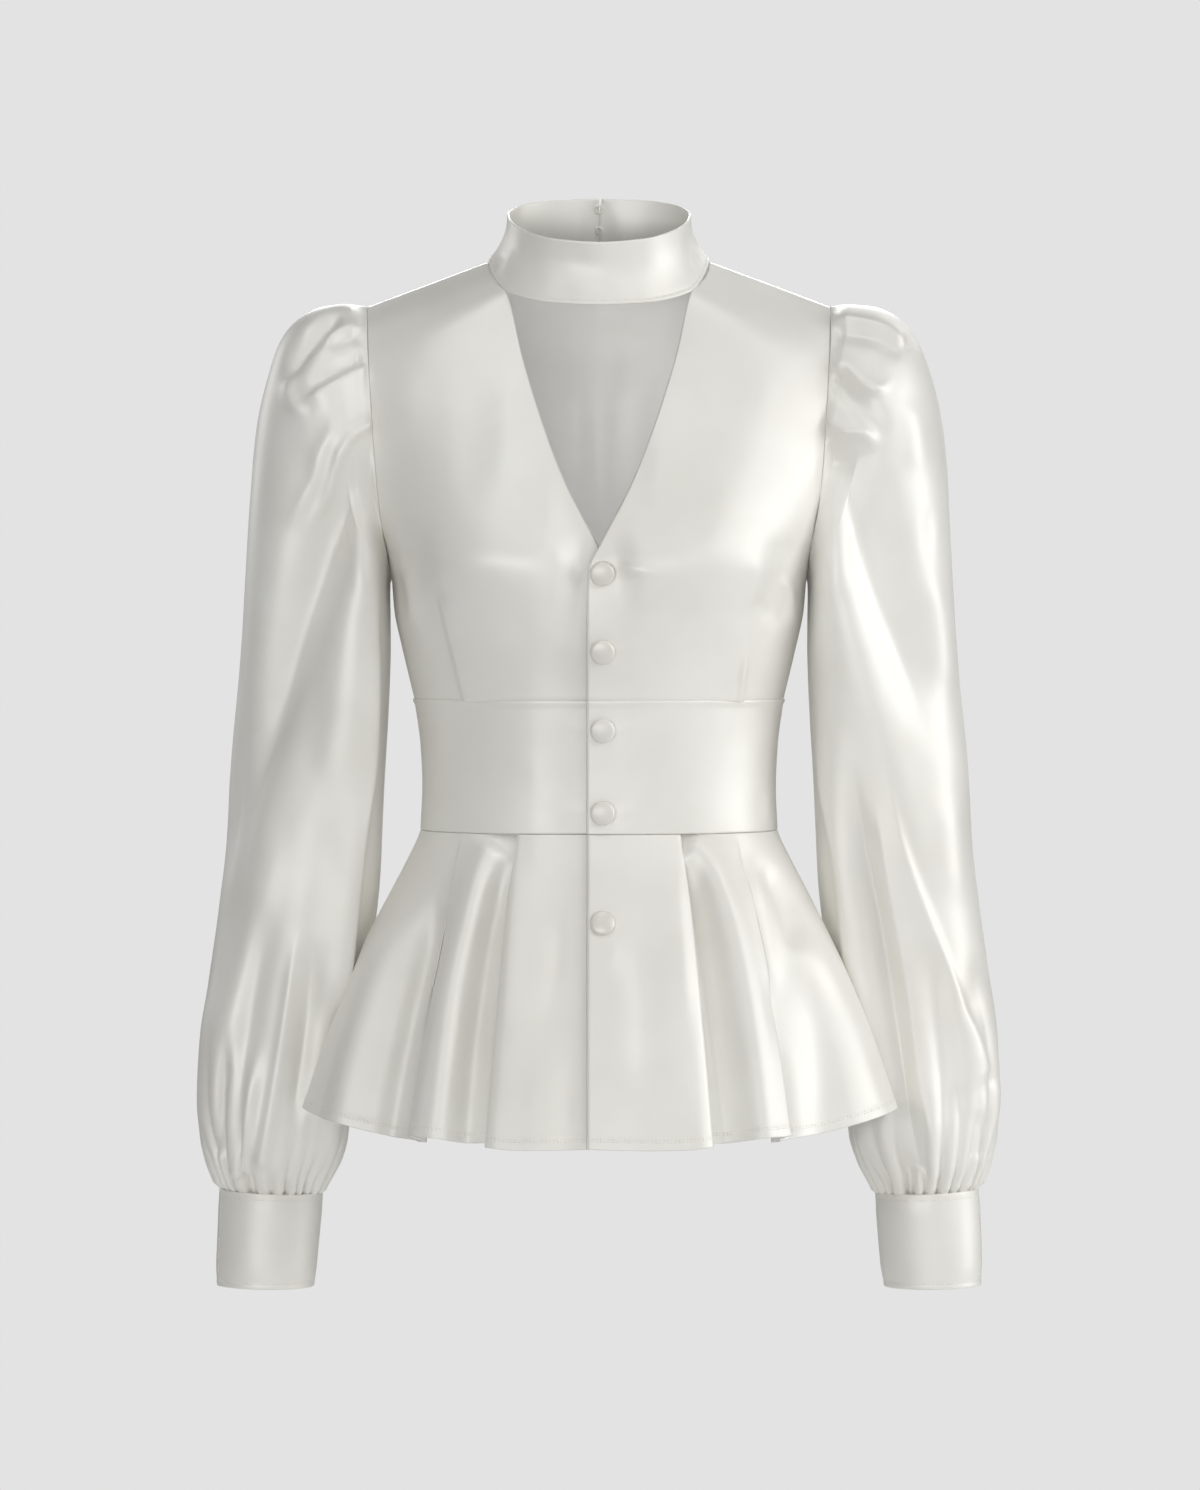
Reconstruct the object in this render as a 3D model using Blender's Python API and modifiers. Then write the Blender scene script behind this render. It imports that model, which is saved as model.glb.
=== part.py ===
"""Peplum blouse with a stand collar, an open V front, pleated sleeve heads and deep cuffs.

Sizes are in millimetres and become metres where a vertex is placed.
+X is the wearer's left, -Y is the front, +Z is up. The origin is midway between the
shoulders, at the base of the neck. A side's tables are written for +X; the other
side is their mirror image.
"""

import math

import bmesh
import bpy
import numpy as np
from mathutils import Vector

MM = 0.001

# Walls and seams
CLOTH_WALL = 1.2
BAND_WALL = 1.6
COLLAR_WALL = 1.8
CUFF_WALL = 1.8
LAP_STEP = 2.8

# Heights of the seams that run round the body
UNDERBUST_Z = -298.0
WAIST_Z = -386.5

# Front closing: how far each front passes the centre line
WRAP = 8.0
BUTTON_X = 2.2
BUTTON_Z = (-213.0, -264.2, -316.8, -372.1, -445.6)
BUTTON_RADIUS = 8.2
BUTTON_HEIGHT = 4.4
BUTTON_GAP = 0.3

# Front bodice, a row per level from the shoulder seam to the underbust seam:
# v, inner edge (x, y, z), armhole or side edge (x, y, z), reach of each end (x, y)
FRONT_ROWS = (
    (0.0000, (75.6, -0.6, -1.8), (156.6, -0.6, -32.0), (27.0, 0.0), (-27.0, 0.0)),
    (0.0625, (73.0, -17.8, -10.4), (156.2, -22.0, -45.0), (28.0, -5.0), (-28.0, -3.0)),
    (0.1250, (68.0, -30.2, -17.6), (155.4, -36.0, -62.0), (30.0, -9.0), (-30.0, -9.0)),
    (0.1875, (61.8, -40.6, -24.6), (154.4, -43.0, -78.0), (32.0, -11.0), (-30.0, -14.0)),
    (0.3125, (51.6, -57.0, -66.5), (152.6, -50.5, -106.0), (38.0, -12.0), (-32.0, -20.0)),
    (0.4375, (38.6, -77.0, -109.0), (150.6, -52.0, -135.0), (44.0, -11.0), (-30.0, -28.0)),
    (0.5625, (22.4, -96.4, -151.5), (148.2, -49.0, -162.0), (57.0, -8.0), (-24.0, -42.0)),
    (0.6875, (1.0, -110.0, -193.5), (144.6, -35.0, -192.0), (72.0, -6.0), (-12.0, -60.0)),
    (0.7500, (-6.6, -112.0, -209.0), (140.5, -0.2, -215.0), (84.0, -5.0), (0.0, -78.0)),
    (0.8125, (-8.0, -111.5, -232.0), (138.6, -0.2, -238.0), (84.0, -4.0), (0.0, -75.0)),
    (0.8750, (-8.0, -106.0, -260.0), (133.6, -0.2, -262.0), (80.0, -1.0), (0.0, -67.0)),
    (1.0000, (-8.0, -96.5, -297.6), (125.0, -0.2, -297.9), (76.0, 0.0), (0.0, -58.0)),
)

# Fullness that the bust darts leave in each front: centre x, centre z, spread x, spread z, rise
BUST = (82.0, -208.0, 36.0, 44.0, 5.0)

# Back bodice, a row per level for one half, from the neck and shoulder down:
# v, then the points at the stations of BACK_U from the centre back to the armhole or side
BACK_U = (0.0, 0.22, 0.42, 0.50, 0.75, 0.90, 1.0)
BACK_ROWS = (
    (0.00, (0, 62.2, 0.4), (38.5, 55.4, 2.0), (68.8, 31.2, 3.4), (75.8, 0.6, -1.8),
     (117.0, 0.6, -17.0), (141.5, 0.6, -26.2), (156.6, 0.6, -32.0)),
    (0.09, (0, 70.0, -24.0), (39.0, 66.5, -23.0), (72.0, 52.0, -20.0), (84.0, 38.0, -19.0),
     (120.0, 26.0, -32.0), (142.5, 25.0, -40.0), (157.0, 25.0, -45.0)),
    (0.20, (0, 77.5, -55.0), (39.0, 76.5, -54.0), (74.0, 66.0, -51.0), (89.0, 58.5, -51.0),
     (124.0, 50.0, -61.0), (143.5, 48.5, -68.0), (157.4, 48.0, -72.0)),
    (0.34, (0, 84.0, -97.0), (39.0, 84.5, -96.0), (75.0, 79.0, -94.0), (91.0, 74.0, -94.0),
     (125.0, 64.0, -102.0), (143.5, 60.0, -109.0), (155.8, 59.0, -113.0)),
    (0.49, (0, 86.0, -141.0), (38.5, 87.5, -141.0), (75.0, 83.0, -141.0), (91.0, 78.5, -142.0),
     (124.0, 66.0, -150.0), (141.5, 58.0, -157.0), (152.4, 52.0, -161.0)),
    (0.62, (0, 85.5, -181.0), (38.0, 87.0, -181.0), (73.0, 82.0, -182.0), (89.0, 76.5, -184.0),
     (120.0, 62.0, -190.0), (137.5, 47.0, -194.0), (147.2, 35.0, -196.0)),
    (0.72, (0, 84.0, -210.0), (37.0, 85.0, -210.0), (71.0, 79.5, -211.0), (87.0, 74.0, -212.0),
     (118.0, 54.0, -214.0), (134.0, 30.0, -215.0), (140.5, 0.2, -215.0)),
    (0.86, (0, 80.5, -256.0), (35.5, 80.5, -256.0), (68.0, 74.0, -257.0), (83.5, 68.0, -257.0),
     (113.0, 48.0, -257.0), (129.0, 25.0, -257.0), (134.8, 0.2, -257.0)),
    (1.00, (0, 77.0, -297.6), (34.0, 76.0, -297.6), (64.5, 69.0, -297.6), (79.0, 62.5, -297.6),
     (107.0, 42.0, -297.7), (120.5, 21.0, -297.8), (125.0, 0.2, -297.9)),
)

# Midriff, a row per level: v, z, half width, front depth, back depth
MIDRIFF_ROWS = (
    (0.00, UNDERBUST_Z - 0.2, 125.0, 96.5, 77.0),
    (0.35, -329.0, 120.9, 92.0, 74.6),
    (0.65, -355.0, 119.7, 89.2, 73.2),
    (1.00, WAIST_Z + 0.15, 121.0, 87.5, 74.0),
)

# Peplum front, a row per station from the closing edge to the side seam:
# place on the waist curve, inset at the waist, hem (x, y, z)
PEPLUM_FRONT = (
    (0.000, 0.0, -8.0, -151.9, -590.6),
    (0.070, 0.0, 10.0, -152.0, -591.2),
    (0.160, 0.0, 34.0, -151.8, -591.6),
    (0.240, 0.0, 56.0, -150.0, -591.4),
    (0.295, 0.0, 69.5, -147.2, -590.4),
    (0.312, 1.1, 74.5, -143.2, -589.8),
    (0.290, 2.6, 69.5, -138.4, -589.4),
    (0.272, 4.0, 64.5, -133.0, -589.0),
    (0.300, 5.4, 71.0, -127.6, -588.8),
    (0.370, 3.8, 88.0, -125.6, -588.2),
    (0.430, 1.6, 104.0, -127.0, -587.0),
    (0.490, 0.0, 117.0, -126.4, -585.6),
    (0.545, 0.0, 125.5, -121.2, -584.6),
    (0.556, 0.0, 120.0, -115.4, -587.0),
    (0.568, 0.0, 114.5, -109.6, -589.8),
    (0.584, 0.0, 121.5, -103.6, -589.0),
    (0.616, 0.0, 136.0, -98.4, -587.0),
    (0.656, 0.0, 152.0, -94.0, -584.2),
    (0.705, 0.0, 168.0, -86.0, -581.0),
    (0.760, 0.0, 184.0, -71.0, -577.4),
    (0.820, 0.0, 196.0, -55.0, -573.8),
    (0.870, 0.0, 199.6, -43.5, -572.8),
    (0.915, 0.0, 194.0, -33.0, -573.2),
    (0.960, 0.0, 180.0, -22.0, -575.0),
    (1.000, 0.0, 163.0, -5.2, -577.0),
)

# Peplum back, the same columns from the centre back to the side seam
PEPLUM_BACK = (
    (0.000, 0.0, 0.0, 138.0, -589.0),
    (0.110, 0.0, 26.0, 139.0, -589.0),
    (0.220, 0.0, 50.0, 137.0, -588.6),
    (0.285, 0.0, 62.0, 134.6, -588.2),
    (0.302, 1.1, 66.6, 130.6, -588.0),
    (0.280, 2.6, 61.6, 126.0, -587.8),
    (0.262, 4.0, 56.6, 120.6, -587.6),
    (0.290, 5.4, 63.0, 115.0, -587.2),
    (0.360, 3.8, 79.0, 113.0, -586.6),
    (0.420, 1.6, 95.0, 113.6, -585.8),
    (0.480, 0.0, 109.0, 111.8, -584.8),
    (0.535, 0.0, 117.4, 106.0, -584.0),
    (0.546, 0.0, 111.8, 100.4, -584.6),
    (0.558, 0.0, 106.2, 94.6, -585.2),
    (0.574, 0.0, 113.0, 87.8, -584.6),
    (0.620, 0.0, 127.0, 80.0, -583.0),
    (0.680, 0.0, 140.0, 69.0, -581.4),
    (0.750, 0.0, 149.0, 54.0, -580.0),
    (0.830, 0.0, 152.0, 36.0, -578.8),
    (0.910, 0.0, 152.6, 18.0, -577.8),
    (0.960, 0.0, 157.0, 5.0, -577.2),
    (1.000, 0.0, 163.0, -4.6, -577.0),
)
PEPLUM_FLARE = 0.3

# Stand collar, a row per station from the centre front to the centre back:
# share of the half ring, lower edge (x, y, z), upper edge (x, y, z)
COLLAR_ROWS = (
    (0.00, (0.0, -62.0, -32.5), (0.0, -66.0, 7.6)),
    (0.17, (31.0, -56.8, -31.0), (31.0, -58.6, 10.4)),
    (0.36, (60.8, -39.4, -23.0), (52.6, -37.0, 18.4)),
    (0.48, (71.2, -17.4, -9.0), (60.4, -14.0, 26.0)),
    (0.57, (74.0, 1.6, -0.2), (61.6, 4.0, 31.0)),
    (0.70, (67.6, 30.0, 4.8), (54.6, 27.0, 37.6)),
    (0.85, (38.0, 54.2, 3.6), (30.6, 41.6, 42.4)),
    (1.00, (0.6, 61.0, 2.0), (0.6, 46.0, 43.7)),
)

# Sleeve, a row per section from the armhole to the cuff:
# v, outer point (x, z), inner point (x, z), centre y, half depth
SLEEVE_ROWS = (
    (0.030, (169.0, -30.4), (142.2, -219.5), 4.0, 59.0),
    (0.070, (187.0, -32.0), (142.4, -228.0), 5.0, 65.0),
    (0.110, (203.0, -39.5), (142.2, -243.0), 6.0, 68.0),
    (0.155, (216.0, -55.0), (142.2, -262.0), 7.0, 67.5),
    (0.205, (225.0, -81.0), (142.8, -285.0), 8.0, 65.5),
    (0.260, (231.5, -113.0), (144.0, -312.0), 8.0, 63.0),
    (0.335, (237.0, -165.0), (146.0, -345.0), 8.5, 60.0),
    (0.415, (240.5, -220.0), (147.8, -382.0), 9.5, 57.0),
    (0.495, (244.0, -275.0), (149.5, -418.0), 11.0, 55.0),
    (0.575, (250.0, -340.0), (153.0, -452.0), 13.0, 54.0),
    (0.650, (253.0, -396.0), (158.0, -486.0), 15.5, 54.0),
    (0.715, (258.5, -440.0), (163.0, -518.0), 18.0, 54.0),
    (0.780, (266.5, -490.0), (168.0, -550.0), 20.0, 54.5),
    (0.840, (273.0, -532.0), (171.0, -578.0), 21.0, 55.0),
    (0.890, (274.5, -570.0), (173.5, -600.0), 20.0, 53.0),
    (0.930, (272.0, -598.0), (178.0, -614.5), 17.0, 48.0),
    (0.960, (267.5, -613.0), (184.0, -625.5), 14.0, 42.0),
    (0.985, (262.0, -626.0), (188.0, -632.5), 12.0, 35.0),
    (1.000, (259.5, -633.6), (189.5, -636.6), 11.0, 31.5),
)
SLEEVE_STARTS = 1.9

# Pleats of the sleeve head, as column numbers of their ridges and troughs from the top
HEAD_RIDGES = (0.0, 3.85, 7.3)
HEAD_TROUGHS = (2.4, 5.3, 9.3)
HEAD_HEIGHT = 3.4

# Long folds of the sleeve, a row per fold: (angle, v) where it starts, bends and ends,
# width in degrees, height (a trough is negative)
SLEEVE_FOLDS = (
    ((128.0, 0.06), (100.0, 0.30), (66.0, 0.56), 15.0, -4.5),
    ((106.0, 0.10), (76.0, 0.34), (40.0, 0.66), 16.0, 3.0),
    ((120.0, 0.40), (118.0, 0.66), (104.0, 0.90), 14.0, 3.5),
    ((88.0, 0.55), (84.0, 0.74), (78.0, 0.92), 13.0, -3.5),
    ((238.0, 0.08), (262.0, 0.32), (292.0, 0.58), 16.0, -4.0),
    ((252.0, 0.45), (256.0, 0.66), (262.0, 0.90), 15.0, -3.0),
)
GATHER_COUNT = 22
GATHER_HEIGHT = 2.2

# Cuff: upper and lower loop as outer (x, z), inner (x, z), centre y, half depth
CUFF_TOP = ((259.5, -634.5), (189.5, -637.5), 11.0, 31.5)
CUFF_BOTTOM = ((261.4, -697.0), (195.4, -698.2), 9.5, 29.0)
CUFF_START = 20.0
CUFF_LAP = 24.0

# Collar fasteners at the centre back: share of the collar height, loop half width
FASTENERS = ((0.86, 2.6), (0.52, 2.2))
FASTENER_WIRE = 0.5

IVORY = (0.86, 0.845, 0.80, 1.0)
IVORY_DEEP = (0.83, 0.815, 0.765, 1.0)
THREAD = (0.78, 0.765, 0.72, 1.0)


class Spline:
    """A smooth line through the rows of a table that never swings past a row."""

    def __init__(self, knots, rows):
        self.knots = np.array(knots, float)
        self.rows = np.array(rows, float)
        step = np.diff(self.knots)[:, None]
        rise = np.diff(self.rows, axis=0) / step
        self.slope = np.zeros_like(self.rows)
        self.slope[0] = rise[0]
        self.slope[-1] = rise[-1]
        before, after = rise[:-1], rise[1:]
        wide = step[:-1] + 2 * step[1:]
        narrow = 2 * step[:-1] + step[1:]
        same = before * after > 0
        safe_before = np.where(same, before, 1.0)
        safe_after = np.where(same, after, 1.0)
        mean = (wide + narrow) / (narrow / safe_before + wide / safe_after)
        self.slope[1:-1] = np.where(same, mean, 0.0)

    def __call__(self, at):
        at = min(max(at, self.knots[0]), self.knots[-1])
        k = int(np.clip(np.searchsorted(self.knots, at) - 1, 0, len(self.knots) - 2))
        step = self.knots[k + 1] - self.knots[k]
        t = (at - self.knots[k]) / step
        low = (1 + 2 * t) * (1 - t) ** 2 * self.rows[k] + t * (1 - t) ** 2 * step * self.slope[k]
        high = t * t * (3 - 2 * t) * self.rows[k + 1] - t * t * (1 - t) * step * self.slope[k + 1]
        return low + high


def flat_row(row):
    """A table row as one list of numbers."""
    numbers = []
    for item in row:
        if isinstance(item, (tuple, list)):
            numbers.extend(item)
        else:
            numbers.append(item)
    return numbers


def spline_of(rows):
    """The spline of a table whose first column is the place along it."""
    return Spline([row[0] for row in rows], [flat_row(row[1:]) for row in rows])


def smooth_step(low, high, at):
    """0 below low, 1 above high, eased between."""
    t = min(max((at - low) / (high - low), 0.0), 1.0)
    return t * t * (3 - 2 * t)


def curve_point(u, start, end, reach_start, reach_end):
    """Point of the plan curve that leaves start by one reach and meets end by the other."""
    a, b, c, d = (1 - u) ** 3, 3 * u * (1 - u) ** 2, 3 * u * u * (1 - u), u**3
    x = a * start[0] + b * (start[0] + reach_start[0]) + c * (end[0] + reach_end[0]) + d * end[0]
    y = a * start[1] + b * (start[1] + reach_start[1]) + c * (end[1] + reach_end[1]) + d * end[1]
    return x, y


def quarter_point(u, edge, half_width, depth):
    """Point of a quarter of the body section, from its front or back edge to the side."""
    sign = -1.0 if depth < 0 else 1.0
    end = (half_width, 0.2 * sign)
    reach = 0.571 * (half_width - edge)
    return curve_point(u, (edge, depth), end, (reach, 0.0), (0.0, 0.6 * depth))


FRONT = spline_of(FRONT_ROWS)
BACK = spline_of(BACK_ROWS)
MIDRIFF = spline_of(MIDRIFF_ROWS)
COLLAR = spline_of(COLLAR_ROWS)
SLEEVE = spline_of(SLEEVE_ROWS)


def under_step(x, side):
    """How far the lower front stays behind the upper one, by its own x."""
    if side > 0:
        return 0.0
    return LAP_STEP * (1 - smooth_step(12.0, 40.0, x))


def front_point(u, v, side):
    """Front bodice."""
    row = FRONT(v)
    x, y = curve_point(u, row[0:2], row[3:5], row[6:8], row[8:10])
    z = row[2] + (row[5] - row[2]) * u
    cx, cz, sx, sz, rise = BUST
    full = rise * math.exp(-(((x - cx) / sx) ** 2) - ((z - cz) / sz) ** 2)
    y -= full * (1 - u**4)
    return Vector((x * side, y + under_step(x, side), z))


def back_point(u, v, side):
    """Back bodice, u from -1 at one armhole to 1 at the other."""
    row = BACK(v).reshape(-1, 3)
    return mirrored_station(Spline(BACK_U, row), u)


def mirrored_station(half, u):
    """Point of a half table at u, and of its mirror image at -u."""
    x, y, z = half(abs(u))
    return Vector((math.copysign(x, u) if u else 0.0, y, z))


def midriff_front_point(u, v, side):
    """Front of the midriff band."""
    z, half_width, front, _ = MIDRIFF(v)
    x, y = quarter_point(u, -WRAP, half_width, -front)
    return Vector((x * side, y + under_step(x, side), z))


def midriff_back_point(u, v, side):
    """Back of the midriff band, u from -1 to 1."""
    z, half_width, _, back = MIDRIFF(v)
    x, y = quarter_point(abs(u), 0.0, half_width, back)
    return Vector((math.copysign(x, u), y, z))


def peplum_point(station, v, edge, depth):
    """Point of the peplum on the line that falls from a waist station to its hem."""
    place, inset, hem_x, hem_y, hem_z = station
    half_width = MIDRIFF_ROWS[-1][2]
    x, y = quarter_point(place, edge, half_width, depth)
    ahead = quarter_point(min(place + 0.01, 1.0), edge, half_width, depth)
    behind = quarter_point(max(place - 0.01, 0.0), edge, half_width, depth)
    along = Vector((ahead[0] - behind[0], ahead[1] - behind[1])).normalized()
    inward = Vector((-along.y, along.x)) if depth < 0 else Vector((along.y, -along.x))
    x += inward.x * inset
    y += inward.y * inset
    flare = v * (1 + PEPLUM_FLARE * (1 - v))
    top = WAIST_Z - 0.15
    return x + (hem_x - x) * flare, y + (hem_y - y) * flare, top + (hem_z - top) * v


def station_of(table, u):
    """Table row at u, straight between the rows."""
    at = abs(u) * (len(table) - 1)
    k = min(int(at + 1e-6), len(table) - 2)
    t = at - k
    return [a + (b - a) * t for a, b in zip(table[k], table[k + 1])]


def peplum_front_point(u, v, side):
    """Front half of the peplum."""
    x, y, z = peplum_point(station_of(PEPLUM_FRONT, u), v, -WRAP, -MIDRIFF_ROWS[-1][3])
    return Vector((x * side, y + under_step(x, side), z))


def peplum_back_point(u, v, side):
    """Back of the peplum, u from -1 to 1."""
    x, y, z = peplum_point(station_of(PEPLUM_BACK, u), v, 0.0, MIDRIFF_ROWS[-1][4])
    return Vector((math.copysign(x, u) if u else 0.0, y, z))


def collar_point(u, v, side):
    """Stand collar, u from -1 to 1 round the neck and v from the lower edge up."""
    row = COLLAR(abs(u))
    low, high = row[0:3], row[3:6]
    point = low + (high - low) * v
    return Vector((math.copysign(point[0], u) if u else 0.0, point[1], point[2]))


def armhole_loop():
    """Closed armhole seam, from the shoulder tip down the front and up the back."""
    front = [row[2] for row in FRONT_ROWS if row[0] <= 0.75]
    back = [row[-1] for row in BACK_ROWS if row[0] <= 0.72]
    points = [(156.6, 0.0, -32.0)] + front[1:-1] + [(140.5, 0.0, -215.0)]
    points += back[::-1][1:-1] + [(156.6, 0.0, -32.0)]
    points = np.array(points)
    length = np.concatenate(([0.0], np.cumsum(np.linalg.norm(np.diff(points, axis=0), axis=1))))
    return Spline(length / length[-1], points)


ARMHOLE = armhole_loop()


def tube_point(row, angle):
    """Point of a sleeve or cuff section at an angle from its outer side round by the front."""
    outer_x, outer_z, inner_x, inner_z, centre_y, half_depth = row
    along = math.cos(angle)
    x = (outer_x + inner_x) / 2 + (outer_x - inner_x) / 2 * along
    z = (outer_z + inner_z) / 2 + (outer_z - inner_z) / 2 * along
    return Vector((x, centre_y - half_depth * math.sin(angle), z))


def head_pleats(column):
    """Ridge and trough pattern of the sleeve head across its columns, 1 to -1."""
    marks = sorted(HEAD_RIDGES + HEAD_TROUGHS)
    column = abs(column)
    if column >= marks[-1]:
        return -1.0 + smooth_step(marks[-1], marks[-1] + 2.6, column)
    for low, high in zip(marks, marks[1:]):
        if low <= column <= high:
            t = (column - low) / (high - low)
            start = 1.0 if low in HEAD_RIDGES else -1.0
            return start * math.cos(math.pi * t)
    return 0.0


def fold_height(angle, v):
    """Long soft folds of the sleeve."""
    total = 0.0
    for start, bend, end, width, height in SLEEVE_FOLDS:
        if not start[1] < v < end[1]:
            continue
        t = (v - start[1]) / (end[1] - start[1])
        line = Spline((0.0, (bend[1] - start[1]) / (end[1] - start[1]), 1.0),
                      [[start[0]], [bend[0]], [end[0]]])(t)[0]
        total += height * math.exp(-(((angle - line) / width) ** 2)) * math.sin(math.pi * t)
    return total


def sleeve_point(u, v, side):
    """Sleeve, u round from the outer side by the front and v from armhole to cuff."""
    angle = 2 * math.pi * u
    columns = 2 * GATHER_COUNT
    column = u * columns
    from_top = column if column <= columns / 2 else column - columns
    seam = Vector(ARMHOLE(u))
    middle = Vector((149.5, 3.0, -122.0))
    if v < SLEEVE_ROWS[0][0]:
        first = tube_point(SLEEVE(SLEEVE_ROWS[0][0]), angle)
        start = seam + Vector((SLEEVE_STARTS, 0.0, 0.0))
        start += (seam - middle).normalized() * 0.2
        base = start.lerp(first, v / SLEEVE_ROWS[0][0])
    else:
        base = tube_point(SLEEVE(v), angle)
    ahead = tube_point(SLEEVE(max(v, 0.03)), angle + 0.01)
    behind = tube_point(SLEEVE(max(v, 0.03)), angle - 0.01)
    above = tube_point(SLEEVE(max(v - 0.01, 0.03)), angle)
    below = tube_point(SLEEVE(min(max(v + 0.01, 0.04), 1.0)), angle)
    out = (ahead - behind).cross(below - above).normalized()
    centre = tube_point(SLEEVE(max(v, 0.03)), angle + math.pi)
    if out.dot(base - centre) < 0:
        out = -out
    rise = smooth_step(0.0, 0.07, v) * (1 - smooth_step(0.14, 0.42, v))
    height = HEAD_HEIGHT * head_pleats(from_top) * rise
    height += fold_height(math.degrees(angle) % 360.0, v)
    wave = math.cos(2 * math.pi * GATHER_COUNT * u)
    gather = smooth_step(0.86, 0.96, v) * (1 - 0.65 * smooth_step(0.97, 1.0, v))
    height += GATHER_HEIGHT * wave * gather
    inner = max(-math.cos(angle), 0.0)
    clear = smooth_step(0.35, 0.9, inner) * (1 - smooth_step(0.30, 0.50, v))
    height *= 1 - clear
    point = base + out * height
    return Vector((point.x * side, point.y, point.z))


def cuff_point(u, v, side):
    """Cuff strip: its first end lies over its last on the outer side."""
    degrees = CUFF_START + u * (360.0 + CUFF_LAP)
    top = np.array(flat_row(CUFF_TOP))
    bottom = np.array(flat_row(CUFF_BOTTOM))
    row = top + (bottom - top) * v
    tuck = (CUFF_WALL + 0.6) * smooth_step(344.0, 374.0, degrees)
    row[0] -= tuck
    row[2] += tuck
    row[5] -= tuck
    point = tube_point(row, math.radians(degrees))
    return Vector((point.x * side, point.y, point.z))


def material_of(name, colour, roughness, metallic=0.0):
    """Material of one node."""
    material = bpy.data.materials.new(name)
    material.use_nodes = True
    shader = material.node_tree.nodes["Principled BSDF"]
    shader.inputs["Base Color"].default_value = colour
    shader.inputs["Roughness"].default_value = roughness
    shader.inputs["Metallic"].default_value = metallic
    material.diffuse_color = colour
    return material


def add_node(name, mesh_maker, wall, colour, roughness, collection):
    """Puts one finished mesh in the scene as a node, with its wall and its material."""
    mesh = bpy.data.meshes.new(name)
    mesh_maker.to_mesh(mesh)
    mesh_maker.free()
    node = bpy.data.objects.new(name, mesh)
    collection.objects.link(node)
    node.data.materials.append(material_of(name, colour, roughness))
    if wall:
        shell = node.modifiers.new("wall", "SOLIDIFY")
        shell.thickness = wall * MM
        shell.offset = 0.0
        shell.use_even_offset = False
    return node


def panel(name, columns, rows, place, side, wall, colour, collection, both=False, closed=False):
    """One cut panel: a flat grid whose vertices are moved to their places on the form."""
    maker = bmesh.new()
    bmesh.ops.create_grid(maker, x_segments=columns, y_segments=rows, size=1.0)
    for vertex in maker.verts:
        u = vertex.co.x if both else (vertex.co.x + 1) / 2
        v = (1 - vertex.co.y) / 2
        vertex.co = place(u, v, side) * MM
    if closed:
        bmesh.ops.remove_doubles(maker, verts=maker.verts, dist=1e-6)
    return add_node(name, maker, wall, colour, 0.34, collection)


def button(name, centre, normal, collection):
    """Domed covered button, turned from its profile about the line it faces along."""
    profile = (
        (0.0, 0.0), (0.62, 0.0), (0.93, 0.14), (1.0, 0.40),
        (0.90, 0.74), (0.55, 0.95), (0.0, 1.0),
    )
    maker = bmesh.new()
    line = [maker.verts.new((r * BUTTON_RADIUS * MM, 0.0, h * BUTTON_HEIGHT * MM)) for r, h in profile]
    edges = [maker.edges.new(pair) for pair in zip(line, line[1:])]
    bmesh.ops.spin(
        maker, geom=line + edges, cent=(0, 0, 0), axis=(0, 0, 1), angle=2 * math.pi,
        steps=18, use_merge=True, use_duplicate=False, dvec=(0, 0, 0),
    )
    bmesh.ops.remove_doubles(maker, verts=maker.verts, dist=1e-6)
    bmesh.ops.recalc_face_normals(maker, faces=maker.faces)
    turn = Vector((0.0, 0.0, 1.0)).rotation_difference(normal).to_matrix().to_4x4()
    turn.translation = centre * MM
    bmesh.ops.transform(maker, matrix=turn, verts=maker.verts)
    return add_node(name, maker, 0.0, IVORY_DEEP, 0.38, collection)


def surface_at(place, x, z, side):
    """Place and outward normal of a front surface at x and z, found by narrowing u and v."""
    u, v = 0.08, 0.5
    for _ in range(60):
        point = place(u, v, side)
        du = place(u + 1e-3, v, side) - point
        dv = place(u, v + 1e-3, side) - point
        u = min(max(u + (x - point.x) / du.x * 1e-3 * 0.6, 0.0), 0.4)
        v = min(max(v + (z - point.z) / dv.z * 1e-3 * 0.6, 0.0), 0.998)
    normal = (place(u + 1e-3, v, side) - place(u, v, side)).cross(
        place(u, v + 1e-3, side) - place(u, v, side)
    ).normalized()
    if normal.y > 0:
        normal = -normal
    return place(u, v, side), normal


def fastener(name, height, half_width, collection):
    """Small wire loop that spans the collar's slit on its inner side."""
    centre = collar_point(1.0, height, 1)
    up = (collar_point(1.0, 1.0, 1) - collar_point(1.0, 0.0, 1)).normalized()
    inward = Vector((1.0, 0.0, 0.0)).cross(up).normalized()
    if inward.y > 0:
        inward = -inward
    maker = bmesh.new()
    bmesh.ops.create_circle(maker, segments=8, radius=FASTENER_WIRE * MM)
    ring_turn = Vector((0, 0, 1)).rotation_difference(up).to_matrix().to_4x4()
    bmesh.ops.transform(maker, matrix=ring_turn, verts=maker.verts)
    shift = inward * (COLLAR_WALL / 2 + FASTENER_WIRE + 0.35)
    middle = Vector((0.0, centre.y, centre.z)) + shift
    start = middle + Vector((half_width, 0.0, 0.0))
    bmesh.ops.translate(maker, vec=start * MM, verts=maker.verts)
    bmesh.ops.spin(
        maker, geom=maker.verts[:] + maker.edges[:], cent=middle * MM, axis=inward,
        angle=2 * math.pi, steps=16, use_merge=True, use_duplicate=False, dvec=(0, 0, 0),
    )
    bmesh.ops.remove_doubles(maker, verts=maker.verts, dist=1e-6)
    bmesh.ops.recalc_face_normals(maker, faces=maker.faces)
    return add_node(name, maker, 0.0, THREAD, 0.5, collection)


def clear_scene():
    """Leaves nothing of the start scene."""
    for thing in list(bpy.data.objects):
        bpy.data.objects.remove(thing, do_unlink=True)


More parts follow.
